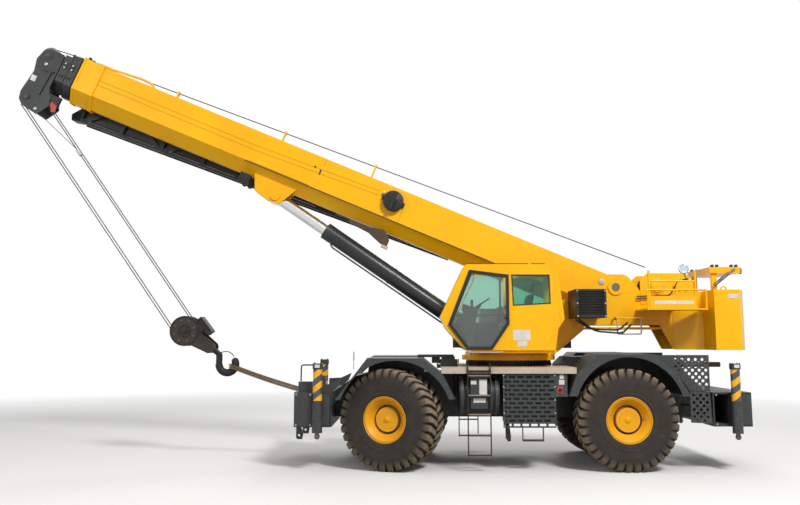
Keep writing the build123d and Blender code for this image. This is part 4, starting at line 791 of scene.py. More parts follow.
# the mat, the lining of the far wall and the lining behind the seat
lining = joined([boxShape(-0.80, 0.90, left + gap, right - gap, floorZ + 0.0005, floorZ + 0.012),
                 boxShape(-0.90, 0.93, right - 0.058, right - 0.0425, floorZ + 0.002, 2.60),
                 boxShape(0.60, 0.86, left + gap, right - gap, floorZ + 0.002, 2.90)])
addPiece("cabLining", lining, interiorPlastic, "superstructure", bevel=0.006)
farBars = joined([boxShape(-0.02, 0.02, right - 0.052, right - 0.041, 2.60, 3.42),
                  boxShape(-0.92, 0.80, right - 0.052, right - 0.041, 2.72, 2.76)])
addPiece("windowBars", farBars, sealRubber, "superstructure", bevel=0.003)
print("cab fitted")


# boom: points are (along it from its pivot, across, out from its middle) and are turned onto it at the end

boomTrim = {
    # lines on each side as (along, out) from the tip backwards
    "seams": [[(11.30, -0.105), (7.40, -0.105), (4.90, -0.005)],
              [(11.30, -0.200), (7.40, -0.200), (4.90, -0.090)]],
    "welds": [[(6.118, 0.165), (6.118, 0.03)], [(4.171, 0.15), (4.171, 0.03)],
              [(4.344, -0.20), (4.344, -0.44)]],
    # a dark line low on each side, from the tip back towards the cab: painted shade where the side plate
    # meets the chamfer below it
    "joint": [(7.62, -0.462), (1.30, -0.462)],
    "reel": (4.581, -0.100), "reelRadius": 0.200,
    "arm": [(5.26, -0.735), (5.22, -0.815), (4.80, -0.850), (4.50, -0.960), (4.36, -0.960), (4.36, -0.830),
            (4.52, -0.680), (4.80, -0.735)],
    "tipBar": [(11.25, 0.185), (10.20, 0.262), (10.00, 0.250), (9.93, 0.185)],
    "gland": [(0, 0.030), (0.05, 0.030), (0.055, 0.022), (0.057, 0.0)],       # (out of the reel, radius)
    # a box as along from and to, across from and to, out from and to
    "pad": (4.33, 4.47, -0.305, -0.230, -1.02, -0.958),
    # a box as along from and to, out from and to, and where each one is across
    "tipBlock": (11.36, 11.42, 0.19, 0.27), "tipBlocksY": (-0.24, -0.05, 0.14),
    # the cable's rollers: where they are along and across, where their cheeks are, (across, radius)
    "rollersAt": (7.43, 7.55), "rollersY": (-0.255, 0.197), "cheeksY": (-0.271, -0.192, 0.180, 0.259),
    "roller": [(0, 0.030), (0.008, 0.052), (0.050, 0.052), (0.058, 0.030)],
}
side = boom["halfWidth"]
for i, s in enumerate((-1, 1)):
    lines = [tubeShape(bentPath([(a, s * (side + 0.001), n) for a, n in line], 0.2), 0.0045, 8)
             for line in boomTrim["seams"] + boomTrim["welds"]]
    # the seams and welds are drawn in the darker yellow: painted shade along the beads
    addPiece(f"boomSeams_{i}", shapeOnBoom(joined(lines)), paintedShadeYellow, "boom_base")
    # a thin dark rod along that line: painted shade at the side's lower edge
    (a0, n0), (a1, n1) = boomTrim["joint"]
    joint = tubeShape(np.linspace((a0, s * (side - 0.004), n0), (a1, s * (side - 0.004), n1), 3), 0.008, 8)
    addPiece(f"boomSideShade_{i}", shapeOnBoom(joint), sealRubber, "boom_base")
a, n = boomTrim["reel"]
radius = boomTrim["reelRadius"]
reel = joined([
    turned([(0, 0.10), (0.02, 0.10), (0.02, radius), (0.035, radius), (0.040, radius - 0.02),
            (0.105, radius - 0.02), (0.110, radius), (0.125, radius), (0.130, radius - 0.03), (0.150, 0.07),
            (0.175, 0.065), (0.178, 0.0)],
           (a, -side, n), (0, -1, 0), 48),
    boxShape(a - 0.235, a + 0.235, -side - 0.055, -side, n - 0.045, n + 0.045),
    boxShape(a - 0.035, a + 0.035, -side - 0.190, -side - 0.120, n - 0.19, n + 0.19)])
addPiece("cableReel", shapeOnBoom(reel), blackEnamel, "boom_base", bevel=0.006)
gland = turned(boomTrim["gland"], (a + 0.235, -side - 0.02, n + 0.09), (0, -1, 0), 20)
addPiece("reelEntryGland", shapeOnBoom(gland), zincSteel, "boom_base")
arm = slabShape(boomTrim["arm"], -0.300, -0.235)
addPiece("jibSupportArm", shapeOnBoom(arm), exhaustSteel, "boom_base", bevel=0.008)
pad = boxShape(*boomTrim["pad"])
addPiece("jibSupportPad", shapeOnBoom(pad), paleEnamel, "boom_base", bevel=0.008)
bar = tubeShape(bentPath([(p, -0.235, q) for p, q in boomTrim["tipBar"]], 0.1), 0.024, 12)
addPiece("tipHandrail", shapeOnBoom(bar), yellowEnamel, "boom_base")
# a dark slot plate and a dark disc on the boom's side: painted shade standing for the inside of a slot and a
# hole
holeShade = joined([boxShape(6.125, 6.160, -side - 0.006, -side + 0.01, -0.165, -0.050),
                turned([(0, 0.022), (0.008, 0.020), (0.009, 0.0)], (6.27, -side, -0.05), (0, -1, 0), 16)])
addPiece("boomSightHoleShade", shapeOnBoom(holeShade), exhaustSteel, "boom_base", bevel=0.003)
rollers = joined([turned(boomTrim["roller"], (p, y, -0.86), (0, 1, 0), 24) for p in boomTrim["rollersAt"]
                  for y in boomTrim["rollersY"]]
                 + [boxShape(7.38, 7.60, y, y + 0.012, -0.88, -0.69) for y in boomTrim["cheeksY"]])
addPiece("cableRollers", shapeOnBoom(rollers), blackEnamel, "boom_base", bevel=0.003)
a0, a1, n0, n1 = boomTrim["tipBlock"]
tipBlocks = joined([boxShape(a0, a1, y, y + 0.05, n0, n1) for y in boomTrim["tipBlocksY"]])
addPiece("tipRopeGuides", shapeOnBoom(tipBlocks), blackEnamel, "boom_base", bevel=0.006)

head = {
    "cheek": 0.262, "label": (12.273, -0.560), "labelHalf": (0.055, 0.060),
    "caps": [(12.160, -0.201), (11.960, -1.120)],
    "cap": [(0, 0.034), (0.014, 0.034), (0.020, 0.026), (0.021, 0.0)],        # (out, radius)
    "tag": [(11.60, -0.90), (11.74, -0.86), (11.76, -0.93), (11.68, -1.00), (11.66, -1.06), (11.57, -1.03)],
    "tagY": (-0.235, -0.215), "switch": (11.58, 11.76, -0.230, -0.150, -0.93, -0.72),
    "switchArm": [(11.66, -0.19, -0.93), (11.60, -0.19, -1.10)],
    "cord": [(11.86, -0.115, -1.19), (10.87, -0.115, -1.545)], "weightAt": (10.807, -0.115, -1.578),
    "weight": [(-0.085, 0.025), (-0.075, 0.042), (0.075, 0.042), (0.085, 0.025)],
    "weightAxis": (-0.580, 0, 0.815),
}
y, (p, q), (long, high) = -head["cheek"], head["label"], head["labelHalf"]
plate = boxShape(p - long, p + long, y - 0.0025, y - 0.0005, q - high, q + high)
addPiece("headLabel", shapeOnBoom(plate), labelVinyl, "boom_fly", bevel=0.0008)
caps = joined([turned(head["cap"], (p, s * head["cheek"], q), (0, s, 0), 24)
               for p, q in head["caps"] for s in (-1, 1)])
addPiece("headPinCaps", shapeOnBoom(caps), zincSteel, "boom_fly")
addPiece("headLimitTag", shapeOnBoom(slabShape(head["tag"], *head["tagY"])), redVinyl, "boom_fly",
         bevel=0.004)
switch = joined([boxShape(*head["switch"]), rodShape(*head["switchArm"], 0.010)])
addPiece("headLimitSwitch", shapeOnBoom(switch), blackEnamel, "boom_fly", bevel=0.006)
addPiece("limitWeightWire", shapeOnBoom(rodShape(*head["cord"], 0.006, 8)), ropeSteel, "boom_fly")
hanging = turned(head["weight"], onBoom([head["weightAt"]])[0], head["weightAxis"], 20)
addPiece("limitWeight", hanging, zincSteel, "boom_fly")
print("boom dressed")


# lift cylinder

def onLift(along, across=0.0, out=0.0):
    # a point on the cylinder: foot + run * along + (run z, -run x) * out, with run from its foot to its eye
    c, s = math.cos(boom["angle"]), math.sin(boom["angle"])
    eye = np.array([boom["pivot"][0] - lift["eyeAlong"] * c + lift["eyeDrop"] * s,
                    boom["pivot"][1] + lift["eyeAlong"] * s + lift["eyeDrop"] * c])
    run = eye - np.array(lift["foot"])
    run /= np.linalg.norm(run)
    x, z = np.array(lift["foot"]) + run * along + np.array([run[1], -run[0]]) * out
    return np.array([x, across, z])


barrel = {"straps": (0.55, 2.10), "strap": [(0, 0.166), (0, 0.171), (0.05, 0.171), (0.05, 0.166)],
          "pipeY": -0.06, "pipe": 0.016, "bolts": 12, "boltRadius": 0.137}
liftAxis = onLift(1) - onLift(0)
top, y = lift["barrel"], barrel["pipeY"]
ports = joined([turned(barrel["strap"], onLift(d), liftAxis, 48, looped=True) for d in barrel["straps"]])
addPiece("barrelStraps", ports, boomGrey, "lift_barrel")
line = bentPath([onLift(0.45, y, -0.165), onLift(0.50, y, -0.205), onLift(top - 0.30, y, -0.205),
                 onLift(top - 0.24, y, -0.165)], 0.04)
addPiece("liftOilPipe", tubeShape(line, barrel["pipe"], 12), boomGrey, "lift_barrel")
# round the gland: middle + radius * (across * cos t + out * sin t)
across, out = np.array([0, 1, 0]), onLift(0, 0, 1) - onLift(0)
gland = boltShapes([onLift(top - 0.001) + barrel["boltRadius"] * (math.cos(t) * across + math.sin(t) * out)
                    for t in np.linspace(0, 2 * math.pi, barrel["bolts"], endpoint=False)],
                   liftAxis, 0.022, 0.016)
addPiece("glandBolts", gland, zincSteel, "lift_barrel", smooth=20)
print("cylinder dressed")


# hook block and sling

block = {
    "centre": (-6.080, 2.452), "half": 0.190, "guard": (-5.712, 2.548), "guardRun": (0.617, -0.787),
    "guardLong": 0.36, "guardWide": 0.13, "bolts": 8, "boltRadius": 0.205,
    # (out of the cheek, radius)
    "boss": [(0, 0.055), (0.030, 0.052), (0.034, 0.030), (0.034, 0.0)],
    "hubRing": [(0, 0.098), (0.016, 0.098), (0.016, 0.118), (0, 0.118)],
    "rimRing": [(0, 0.262), (0.010, 0.262), (0.010, 0.282), (0, 0.282)],
    "latch": [(-5.430, 0.0, 1.990), (-5.390, 0.0, 2.045), (-5.260, 0.0, 2.060), (-5.165, 0.0, 2.005),
              (-5.140, 0.0, 1.950)],
}
(x, z), r, rings, heads = block["centre"], block["boltRadius"], [], []
around = np.linspace(0.3, 2 * math.pi + 0.3, block["bolts"], endpoint=False)
for s in (-1, 1):
    face, out = (x, s * block["half"], z), (0, s, 0)
    rings += [turned(block["boss"], face, out, 32), turned(block["hubRing"], face, out, 48, looped=True),
              turned(block["rimRing"], face, out, 72, looped=True)]
    heads.append(boltShapes([(x + r * math.cos(t), face[1], z + r * math.sin(t)) for t in around], out,
                            0.040, 0.020))
addPiece("blockCheekRings", joined(rings), blockSteel, "hook_block", bevel=0.002)
addPiece("blockCheekBolts", joined(heads), hookSteel, "hook_block", smooth=20)
run = np.array(block["guardRun"])
across = np.array([-run[1], run[0]])
corners = [np.array(block["guard"]) + run * block["guardLong"] / 2 * i + across * block["guardWide"] / 2 * j
           for i, j in ((-1, -1), (1, -1), (1, 1), (-1, 1))]
inner = insetOutline(corners, 0.028)
guard = joined([frameShape(corners, inner, -0.165, 0.165),
                slabShape(insetOutline(corners, 0.020), -0.135, 0.135)])
addPiece("blockRopeGuard", guard, blockSteel, "hook_block", bevel=0.006)
latch = bentPath(block["latch"], 0.05)
addPiece("hookLatch", tubeShape(latch, 0.009), hookSteel, "hook_block")

sling = {"saddle": (-5.203, 1.780), "saddleHalf": 0.096, "lug": (-3.850, 0.133, 1.335),
         "strand": (0.019, 0.010), "drops": (-0.030, 0.0, 0.030)}


def strapShape(path, halfWide, halfThick, twist=0.0, sides=14):
    # a flat oval section carried along a path, turned a little as it goes
    path = np.asarray(path, float)
    tangent = np.gradient(path, axis=0)
    tangent /= np.linalg.norm(tangent, axis=1)[:, None]
    u = np.cross(tangent, (0.05, 0.1, 1.0))
    u /= np.linalg.norm(u, axis=1)[:, None]
    v = np.cross(u, tangent)
    a = np.linspace(0, 2 * math.pi, sides, endpoint=False)
    turn = (twist * np.linspace(0, 1, len(path)))[:, None]
    wide, thick = halfWide * np.cos(a)[None], halfThick * np.sin(a)[None]
    first, second = wide * np.cos(turn) - thick * np.sin(turn), wide * np.sin(turn) + thick * np.cos(turn)
    return gridShape(path[:, None] + first[..., None] * u[:, None] + second[..., None] * v[:, None],
                     closedColumns=True, caps=True)


sx, sz = sling["saddle"]
lx, ly, lz = sling["lug"]
strands = []
for i, drop in enumerate(sling["drops"]):
    for s in (-1, 1):
        start = np.array([sx, s * sling["saddleHalf"], sz + drop])
        end = np.array([lx, s * ly, lz + drop])
        share = np.linspace(0, 1, 40)[:, None]
        run = start + (end - start) * share
        run[:, 2] -= (0.018 * np.sin(share * math.pi))[:, 0]    # a slight sag
        strands.append(strapShape(run, *sling["strand"], twist=0.3 * s * (1 - i)))
    half = sling["saddleHalf"] + 0.004
    across = np.linspace((sx, -half, sz + drop), (sx, half, sz + drop), 16)
    strands.append(strapShape(across, 0.019, 0.0105))
addPiece("slingWebbing", joined(strands), slingCloth, "carrier", replaces=["sling"])
shackles = []
for s in (-1, 1):
    turn = np.linspace(0, 2 * math.pi, 33)
    loop = np.stack([lx - 0.020 + 0.045 * np.cos(turn), np.full(33, s * ly),
                     lz + 0.006 + 0.032 * np.sin(turn)], 1)
    shackles.append(tubeShape(loop, 0.009, 10, closed=False))
addPiece("slingShackles", joined(shackles), zincSteel, "carrier")
print("hook dressed")


# superstructure behind the cab

cooler = {"x": (1.324, 1.874), "face": -1.250, "z": (2.680, 3.200), "slats": 15, "border": 0.045,
          "slatInset": 0.04, "frameWide": 0.042, "frameProud": 0.030, "frameInset": 0.002,
          "boltInset": (0.022, 0.030)}
(x0, x1), face, (z0, z1) = cooler["x"], cooler["face"], cooler["z"]
front = face - cooler["frameProud"]
pitch = (z1 - z0 - 2 * cooler["border"]) / cooler["slats"]
sides = [[0, 1, 5, 4], [1, 2, 6, 5], [2, 3, 7, 6], [3, 0, 4, 7], [3, 2, 1, 0], [4, 5, 6, 7]]
slats = []
for z in z0 + cooler["border"] + pitch * (np.arange(cooler["slats"]) + 0.5):
    # each slat leans back from its lower edge: (across, up) round its section
    section = [(face - 0.026, z - pitch * 0.42), (face - 0.022, z - pitch * 0.50),
               (face - 0.001, z + pitch * 0.32), (face - 0.005, z + pitch * 0.42)]
    ends = (x0 + cooler["slatInset"], x1 - cooler["slatInset"])
    slats.append((np.array([(x, y, q) for x in ends for y, q in section]), sides))
inset = cooler["frameInset"]
edge = [(x0 + inset, z0 + inset), (x1 - inset, z0 + inset), (x1 - inset, z1 - inset),
        (x0 + inset, z1 - inset)]
louvres = joined(slats + [frameShape(edge, insetOutline(edge, cooler["frameWide"]), front, face - 0.0005)])
addPiece("coolerLouvres", louvres, blackEnamel, "superstructure", bevel=0.002)
boltX, boltZ = cooler["boltInset"]
bolts = boltShapes([(x, front, z) for x in (x0 + boltX, x1 - boltX)
                    for z in (z0 + boltZ, (z0 + z1) / 2, z1 - boltZ)], (0, -1, 0), 0.022, 0.010)
addPiece("coolerBolts", bolts, zincSteel, "superstructure", smooth=20)

winch = {
    "x": (3.02, 3.48), "z": 3.30, "plateY": 0.4125, "thick": 0.012, "core": 0.152, "rope": 0.176,
    "strand": 0.011,
    # where the rope lies on a drum: y from, y to
    "wraps": [(-0.229, -0.081), (-0.049, 0.079), (0.111, 0.229)],
    "plate": [(2.70, 2.955), (3.72, 2.955), (3.72, 3.36), (3.58, 3.545), (2.84, 3.545), (2.70, 3.42)],
    # a drum's motor cap: (distance out of the plate, radius)
    "cap": [(0, 0.165), (0.018, 0.160), (0.018, 0.128), (0.050, 0.118), (0.056, 0.095), (0.058, 0.0)],
    "capBolts": 8, "capBoltRadius": 0.142, "pipe": 0.013,
    "pipes": [[(2.62, -0.470, 3.10), (3.25, -0.470, 3.12), (3.42, -0.470, 3.40), (3.62, -0.440, 3.44)],
              [(2.62, -0.470, 3.06), (3.30, -0.470, 3.08), (3.36, -0.470, 2.98), (3.62, -0.440, 2.96)]],
}
for i, x in enumerate(winch["x"]):
    wraps = []
    for a, b in winch["wraps"]:
        # radius = rope + strand * |sin(pi * y / (2 * strand))|, one hump for each turn of the rope
        along = np.linspace(0, b - a, 61)
        turns = winch["rope"] + winch["strand"] * np.abs(np.sin(along / (2 * winch["strand"]) * math.pi))
        profile = np.concatenate([[(0, winch["core"])], np.stack([along, turns], 1),
                                  [(b - a, winch["core"])]])
        wraps.append(turned(profile, (x, a, winch["z"]), (0, 1, 0), 48, looped=True))
    addPiece(f"winchRope_{i}", joined(wraps), ropeSteel, "superstructure", smooth=60)
around = np.linspace(0, 2 * math.pi, winch["capBolts"], endpoint=False)
for i, s in enumerate((-1, 1)):
    inner, outer = s * winch["plateY"], s * (winch["plateY"] + winch["thick"])
    plate = [slabShape(winch["plate"], *sorted((inner, outer)))]
    plate += [turned(winch["cap"], (x, outer, winch["z"]), (0, s, 0), 40) for x in winch["x"]]
    addPiece(f"winchGuard_{i}", joined(plate), yellowEnamel, "superstructure", bevel=0.004)
    r = winch["capBoltRadius"]
    heads = boltShapes([(x + r * math.cos(t), s * (winch["plateY"] + 0.030), winch["z"] + r * math.sin(t))
                        for x in winch["x"] for t in around], (0, s, 0), 0.018, 0.010)
    addPiece(f"winchGuardBolts_{i}", heads, zincSteel, "superstructure", smooth=20)
pipes = joined([tubeShape(bentPath(line, 0.05), winch["pipe"], 10) for line in winch["pipes"]])
addPiece("winchPipes", pipes, hoseRubber, "superstructure")

deck = {"y": -1.288, "floor": 2.850, "board": (2.66, 3.50), "boardTop": 3.070, "posts": (2.655, 3.495),
        "postTop": 3.535, "rail": 3.340, "postOut": 0.022, "strip": (2.74, 3.44, 2.925, 2.985)}
y, (x0, x1), (post0, post1) = deck["y"], deck["board"], deck["posts"]
low, railY = deck["floor"] + 0.002, deck["y"] + deck["postOut"]
board = [(x0, low), (x1, low), (x1, deck["boardTop"]), (x0, deck["boardTop"])]
panel = slabShape(board, y - 0.006, y + 0.006)
addPiece("platformToeBoard", panel, yellowEnamel, "superstructure", bevel=0.003)
stripX0, stripX1, stripZ0, stripZ1 = deck["strip"]
strip = boxShape(stripX0, stripX1, y - 0.0085, y - 0.0062, stripZ0, stripZ1)
addPiece("platformLabelStrip", strip, labelVinyl, "superstructure", bevel=0.0008, slot="yellow_paint")
posts = [tubeShape(np.linspace((x, railY, deck["floor"]), (x, railY, deck["postTop"]), 3), 0.021, 12)
         for x in (post0, post1)]
rail = tubeShape(np.linspace((post0, railY, deck["rail"]), (post1, railY, deck["rail"]), 3), 0.016, 12)
addPiece("platformRails", joined(posts + [rail]), yellowEnamel, "superstructure")
mirror = {"centre": (3.303, -1.235, 3.560), "facing": (-0.25, -1, 0),
          "shell": [(0, 0.084), (0.018, 0.088), (0.030, 0.080)],
          "glass": [(0.030, 0.078), (0.036, 0.060), (0.041, 0.030), (0.043, 0.0)]}
shell = turned(mirror["shell"], mirror["centre"], mirror["facing"], 40)
stalk = rodShape((3.35, railY, deck["rail"]), (3.31, -1.215, 3.50), 0.010)
addPiece("mirrorShell", joined([shell, stalk]), blackEnamel, "superstructure", bevel=0.003)
glass = turned(mirror["glass"], mirror["centre"], mirror["facing"], 40)
addPiece("mirrorLens", glass, mirrorFace, "superstructure", smooth=80)

weight = {"side": 1.400, "top": 3.180, "eyeX": 4.05, "eyeY": 1.12, "eyeHalf": 0.055, "eyeRise": 0.075,
          "plate": (4.03, 4.215, 3.022, 3.098), "screws": (4.045, 4.20)}
turn = np.linspace(0, math.pi, 15)
for i, s in enumerate((-1, 1)):
    # x = eyeX + eyeHalf * cos t and z = top + eyeRise * sin t, its feet 4 mm inside the weight
    eye = np.stack([weight["eyeX"] + weight["eyeHalf"] * np.cos(turn), np.full(15, s * weight["eyeY"]),
                    weight["top"] + weight["eyeRise"] * np.sin(turn) - 0.004], 1)
    addPiece(f"liftingEye_{i}", tubeShape(eye, 0.014, 12), yellowEnamel, "superstructure")
face = -weight["side"]
x0, x1, z0, z1 = weight["plate"]
plate = boxShape(x0, x1, face - 0.0035, face - 0.0005, z0, z1)
addPiece("weightPlate", plate, labelVinyl, "superstructure", bevel=0.001, slot="yellow_paint")
screws = boltShapes([(x, face - 0.0035, (z0 + z1) / 2) for x in weight["screws"]], (0, -1, 0), 0.014, 0.006)
addPiece("weightPlateScrews", screws, zincSteel, "superstructure", smooth=20)

rear = {
    "rollers": [(x, y, 3.664) for x in (4.02, 4.11, 4.38, 4.47) for y in (-0.66, 0.60)],
    "roller": [(0, 0.022), (0.006, 0.030), (0.054, 0.030), (0.060, 0.022)],      # (along its shaft, radius)
    "ram": [(4.02, -0.72, 3.30), (4.30, -0.72, 3.52), (4.42, -0.72, 3.61)], "ramRadii": (0.030, 0.018),
    "lamps": [(4.54, -0.50, 3.58), (4.54, 0.50, 3.58)],
    "lamp": [(0, 0.030), (0.02, 0.052), (0.06, 0.060), (0.066, 0.056)],          # (distance back, radius)
}
rollers = joined([turned(rear["roller"], place, (0, 1, 0), 24) for place in rear["rollers"]])
addPiece("beamRollers", rollers, blackEnamel, "superstructure")
ram = joined([rodShape(a, b, r) for a, b, r in zip(rear["ram"], rear["ram"][1:], rear["ramRadii"])])
addPiece("weightRam", ram, greasedSteel, "superstructure")
step = {"y": -0.80, "x": (2.16, 2.60), "top": 2.66, "foot": 2.39, "armZ": 2.665, "armFrom": -0.41,
        "radius": 0.014, "tread": (2.13, 2.63, 2.672, 2.700)}
y, (x0, x1) = step["y"], step["x"]
hoop = bentPath([(x0, y, step["top"]), (x0, y, step["foot"]), (x1, y, step["foot"]), (x1, y, step["top"])],
                0.03)
arms = [rodShape((x, step["armFrom"], step["armZ"]), (x, y, step["armZ"]), step["radius"]) for x in (x0, x1)]
hoops = joined([tubeShape(hoop, step["radius"], 12)] + arms)
addPiece("sideStepHoop", hoops, paleEnamel, "superstructure")
x0, x1, z0, z1 = step["tread"]
tread = boxShape(x0, x1, y - 0.02, y + 0.16, z0, z1)
addPiece("sideStepTread", tread, yellowEnamel, "superstructure", bevel=0.004)
# (distance out of the plate, radius)
pivotBoss = [(0, 0.060), (0.020, 0.055), (0.022, 0.030), (0.030, 0.028), (0.031, 0.0)]
boss = joined([turned(pivotBoss, (1.968, s * winch["plateY"], 3.385), (0, s, 0), 28) for s in (-1, 1)])
addPiece("sidePlateBosses", boss, zincSteel, "superstructure")
workLamps = joined([turned(rear["lamp"], place, (1, 0, 0), 24) for place in rear["lamps"]])
addPiece("rearLampShells", workLamps, blackEnamel, "superstructure")
print("superstructure dressed")


# carrier

tank = {"y": -1.265, "z": 1.300, "radius": 0.318, "strap": 0.016,
        "straps": [(-0.805, 0.060), (-0.285, 0.045), (-0.200, 0.060)],      # x from, width
        "panel": (-0.640, -0.330, 1.080, 1.640), "panelY": -1.596, "panelThick": 0.060,
        # blank labels on the panel: x from, x to, z from, z to
        "labels": [(-0.630, -0.530, 1.505, 1.570), (-0.480, -0.345, 1.330, 1.590),
                   (-0.585, -0.370, 1.190, 1.265)]}
low, high = tank["radius"] + 0.001, tank["radius"] + tank["strap"]
straps = [turned([(0, low), (0.006, high), (wide - 0.006, high), (wide, low)], (x, tank["y"], tank["z"]),
                 (1, 0, 0), 72, looped=True) for x, wide in tank["straps"]]
addPiece("tankStraps", joined(straps), greyEnamel, "carrier")
y, (x0, x1, z0, z1) = tank["panelY"], tank["panel"]
panel = boxShape(x0, x1, y, y + tank["panelThick"], z0, z1)
addPiece("tankPanel", panel, greyEnamel, "carrier", bevel=0.008)
blanks = joined([boxShape(a, b, y - 0.0025, y - 0.0004, c, d) for a, b, c, d in tank["labels"]])
addPiece("tankLabels", blanks, labelVinyl, "carrier", bevel=0.0008)
ladder = {"x": (-0.672, -0.297), "y": -1.630, "rungs": (0.30, 0.63, 0.97, 1.30, 1.64), "teeth": 13,
          "tooth": 0.014}
(x0, x1), y, half = ladder["x"], ladder["y"], ladder["tooth"] / 2
grips = []
for z in ladder["rungs"]:
    grips.append(boxShape(x0, x1, y - 0.024, y + 0.018, z + 0.008, z + 0.018))
    grips += [boxShape(x - half, x + half, y - 0.026, y + 0.018, z + 0.018, z + 0.030)
              for x in np.linspace(x0 + 0.01, x1 - 0.01, ladder["teeth"])]
addPiece("ladderGrips", joined(grips), paleEnamel, "carrier")

guard = {
    "face": -1.5525, "labels": [(0.945, 1.015, 1.600, 1.672), (0.930, 1.025, 1.500, 1.585)],
    "isolator": (0.900, 0.998, 1.345, 1.465), "knobAt": (0.949, 1.405),
    "knob": [(0, 0.030), (0.012, 0.030), (0.016, 0.024), (0.016, 0.0)], "grip": (0.941, 0.957, 1.372, 1.438),
    "bolts": [(x, z) for x in (-0.045, 0.855) for z in (0.785, 1.01, 1.235, 1.46, 1.66)],
}
y = guard["face"]
blanks = joined([boxShape(a, b, y, y + 0.002, c, d) for a, b, c, d in guard["labels"]])
addPiece("panelLabels", blanks, labelVinyl, "carrier", bevel=0.0008)
x0, x1, z0, z1 = guard["isolator"]
addPiece("isolatorPlate", boxShape(x0, x1, y - 0.004, y + 0.002, z0, z1), redVinyl, "carrier", bevel=0.003)
x, z = guard["knobAt"]
x0, x1, z0, z1 = guard["grip"]
knob = joined([turned(guard["knob"], (x, y - 0.004, z), (0, -1, 0), 24),
               boxShape(x0, x1, y - 0.040, y - 0.018, z0, z1)])
addPiece("isolatorKnob", knob, blackEnamel, "carrier", bevel=0.003)
boxes = {"rearBolts": [(3.70, -1.4805, z) for z in (0.82, 1.32)], "cover": (-3.752, -3.440, 0.762, 1.352),
         "coverY": -1.4815, "coverThick": 0.010, "coverInset": 0.03}
guardBolts = boltShapes([(x, y, z) for x, z in guard["bolts"]], (0, -1, 0), 0.022, 0.012)
boxBolts = boltShapes(boxes["rearBolts"], (0, -1, 0), 0.024, 0.012)
addPiece("guardBolts", joined([guardBolts, boxBolts]), zincSteel, "carrier", smooth=20)
x0, x1, z0, z1 = boxes["cover"]
front, inset = boxes["coverY"] - boxes["coverThick"], boxes["coverInset"]
addPiece("frontBoxCover", boxShape(x0, x1, front, boxes["coverY"], z0, z1), greyEnamel, "carrier",
         bevel=0.004)
bolts = boltShapes([(x, front, z) for x in (x0 + inset, x1 - inset) for z in (z0 + inset, z1 - inset)],
                   (0, -1, 0), 0.024, 0.012)
addPiece("frontCoverBolts", bolts, zincSteel, "carrier", smooth=20)

# a rod and the sleeve on it: z from, z to, radius, sides
marker = {"x": -2.697, "y": -1.600, "rods": [(1.760, 2.078, 0.007, 10), (1.930, 2.060, 0.013, 14)]}
rods = joined([rodShape((marker["x"], marker["y"], z0), (marker["x"], marker["y"], z1), radius, count)
               for z0, z1, radius, count in marker["rods"]])
addPiece("fenderMarker", rods, zincSteel, "carrier")
tail = {"x": 4.3205, "z": 1.20, "lens": [(0, 0.048), (0.020, 0.046), (0.026, 0.036), (0.028, 0.0)]}
for name, y, lens in (("tailLamps", 1.10, redLens), ("turnLamps", 0.97, amberLens)):
    pair = joined([turned(tail["lens"], (tail["x"], s * y, tail["z"]), (1, 0, 0), 28) for s in (-1, 1)])
    addPiece(name, pair, lens, "carrier")
# the beam that is nested in the stowed jib: its outline as (along the boom, out), and y from, y to
nested = {"outline": [(3.40, -0.600), (11.15, -0.890), (11.20, -0.930), (11.50, -1.000), (11.55, -0.880),
                      (11.15, -0.350), (3.40, -0.400)], "y": (0.430, 0.760)}
insert = slabShape(nested["outline"], *nested["y"])
addPiece("nestedJibBeam", shapeOnBoom(insert), blackEnamel, "boom_base", bevel=0.02)
print("carrier dressed")


# boom head and collars

headTrim = {
    "cheek": 0.262, "pins": [(12.205, -0.026), (12.238, -0.971)],
    "pin": [(0, 0.062), (0.010, 0.062), (0.014, 0.040), (0.030, 0.036), (0.032, 0.0)],      # (out, radius)
    # upright ribs on the cheeks: their outline, and how far out they stand
    "ribs": [([(12.02, -0.30), (11.97, -0.30), (12.00, -0.83), (12.05, -0.83)], 0.290),
             ([(12.16, -0.335), (12.16, -0.300), (11.93, -0.285), (11.93, -0.320)], 0.300)],
    "collars": [("boom_outer_mid", 11.786), ("boom_inner_mid", 11.606)],
    "finial": [(-0.060, 0.010), (-0.020, 0.012), (0.0, 0.024), (0.016, 0.030), (0.034, 0.024),
               (0.044, 0.010), (0.046, 0.0)],
}
pins = joined([turned(headTrim["pin"], (p, s * headTrim["cheek"], q), (0, s, 0), 28)
               for p, q in headTrim["pins"] for s in (-1, 1)])
addPiece("headPinEnds", shapeOnBoom(pins), exhaustSteel, "boom_fly")
ribs = joined([slabShape(outline, *sorted((s * (headTrim["cheek"] + 0.0005), s * out)))
               for outline, out in headTrim["ribs"] for s in (-1, 1)])
addPiece("headRibs", shapeOnBoom(ribs), boomGrey, "boom_fly", bevel=0.003)
finial = turned(headTrim["finial"], (12.285, -0.10, 0.130), (0, 0, 1), 24)
addPiece("windSensorMount", shapeOnBoom(finial), zincSteel, "boom_fly")
for body, p in headTrim["collars"]:
    # on each side of a collar a bar, a bracket with two screws, and a rope guide on top
    wall = -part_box(body)[0][1]
    parts = []
    for s in (-1, 1):
        parts += [boxShape(p - 0.050, p + 0.045, *sorted((s * wall, s * (wall + 0.022))), -0.325, -0.285),
                  boxShape(p - 0.050, p + 0.045, *sorted((s * wall, s * (wall + 0.010))), -0.150, -0.010),
                  boxShape(p - 0.075, p - 0.040, *sorted((s * 0.170, s * 0.215)), 0.040, 0.205)]
    addPiece(f"{body}Guides", shapeOnBoom(joined(parts)), blackEnamel, body, bevel=0.003)
    screws = boltShapes([(p, s * (wall + 0.010), q) for s in (-1, 1) for q in (-0.125, -0.035)], (0, -1, 0),
                        0.030, 0.014)
    addPiece(f"{body}Screws", shapeOnBoom(screws), zincSteel, body, smooth=20)
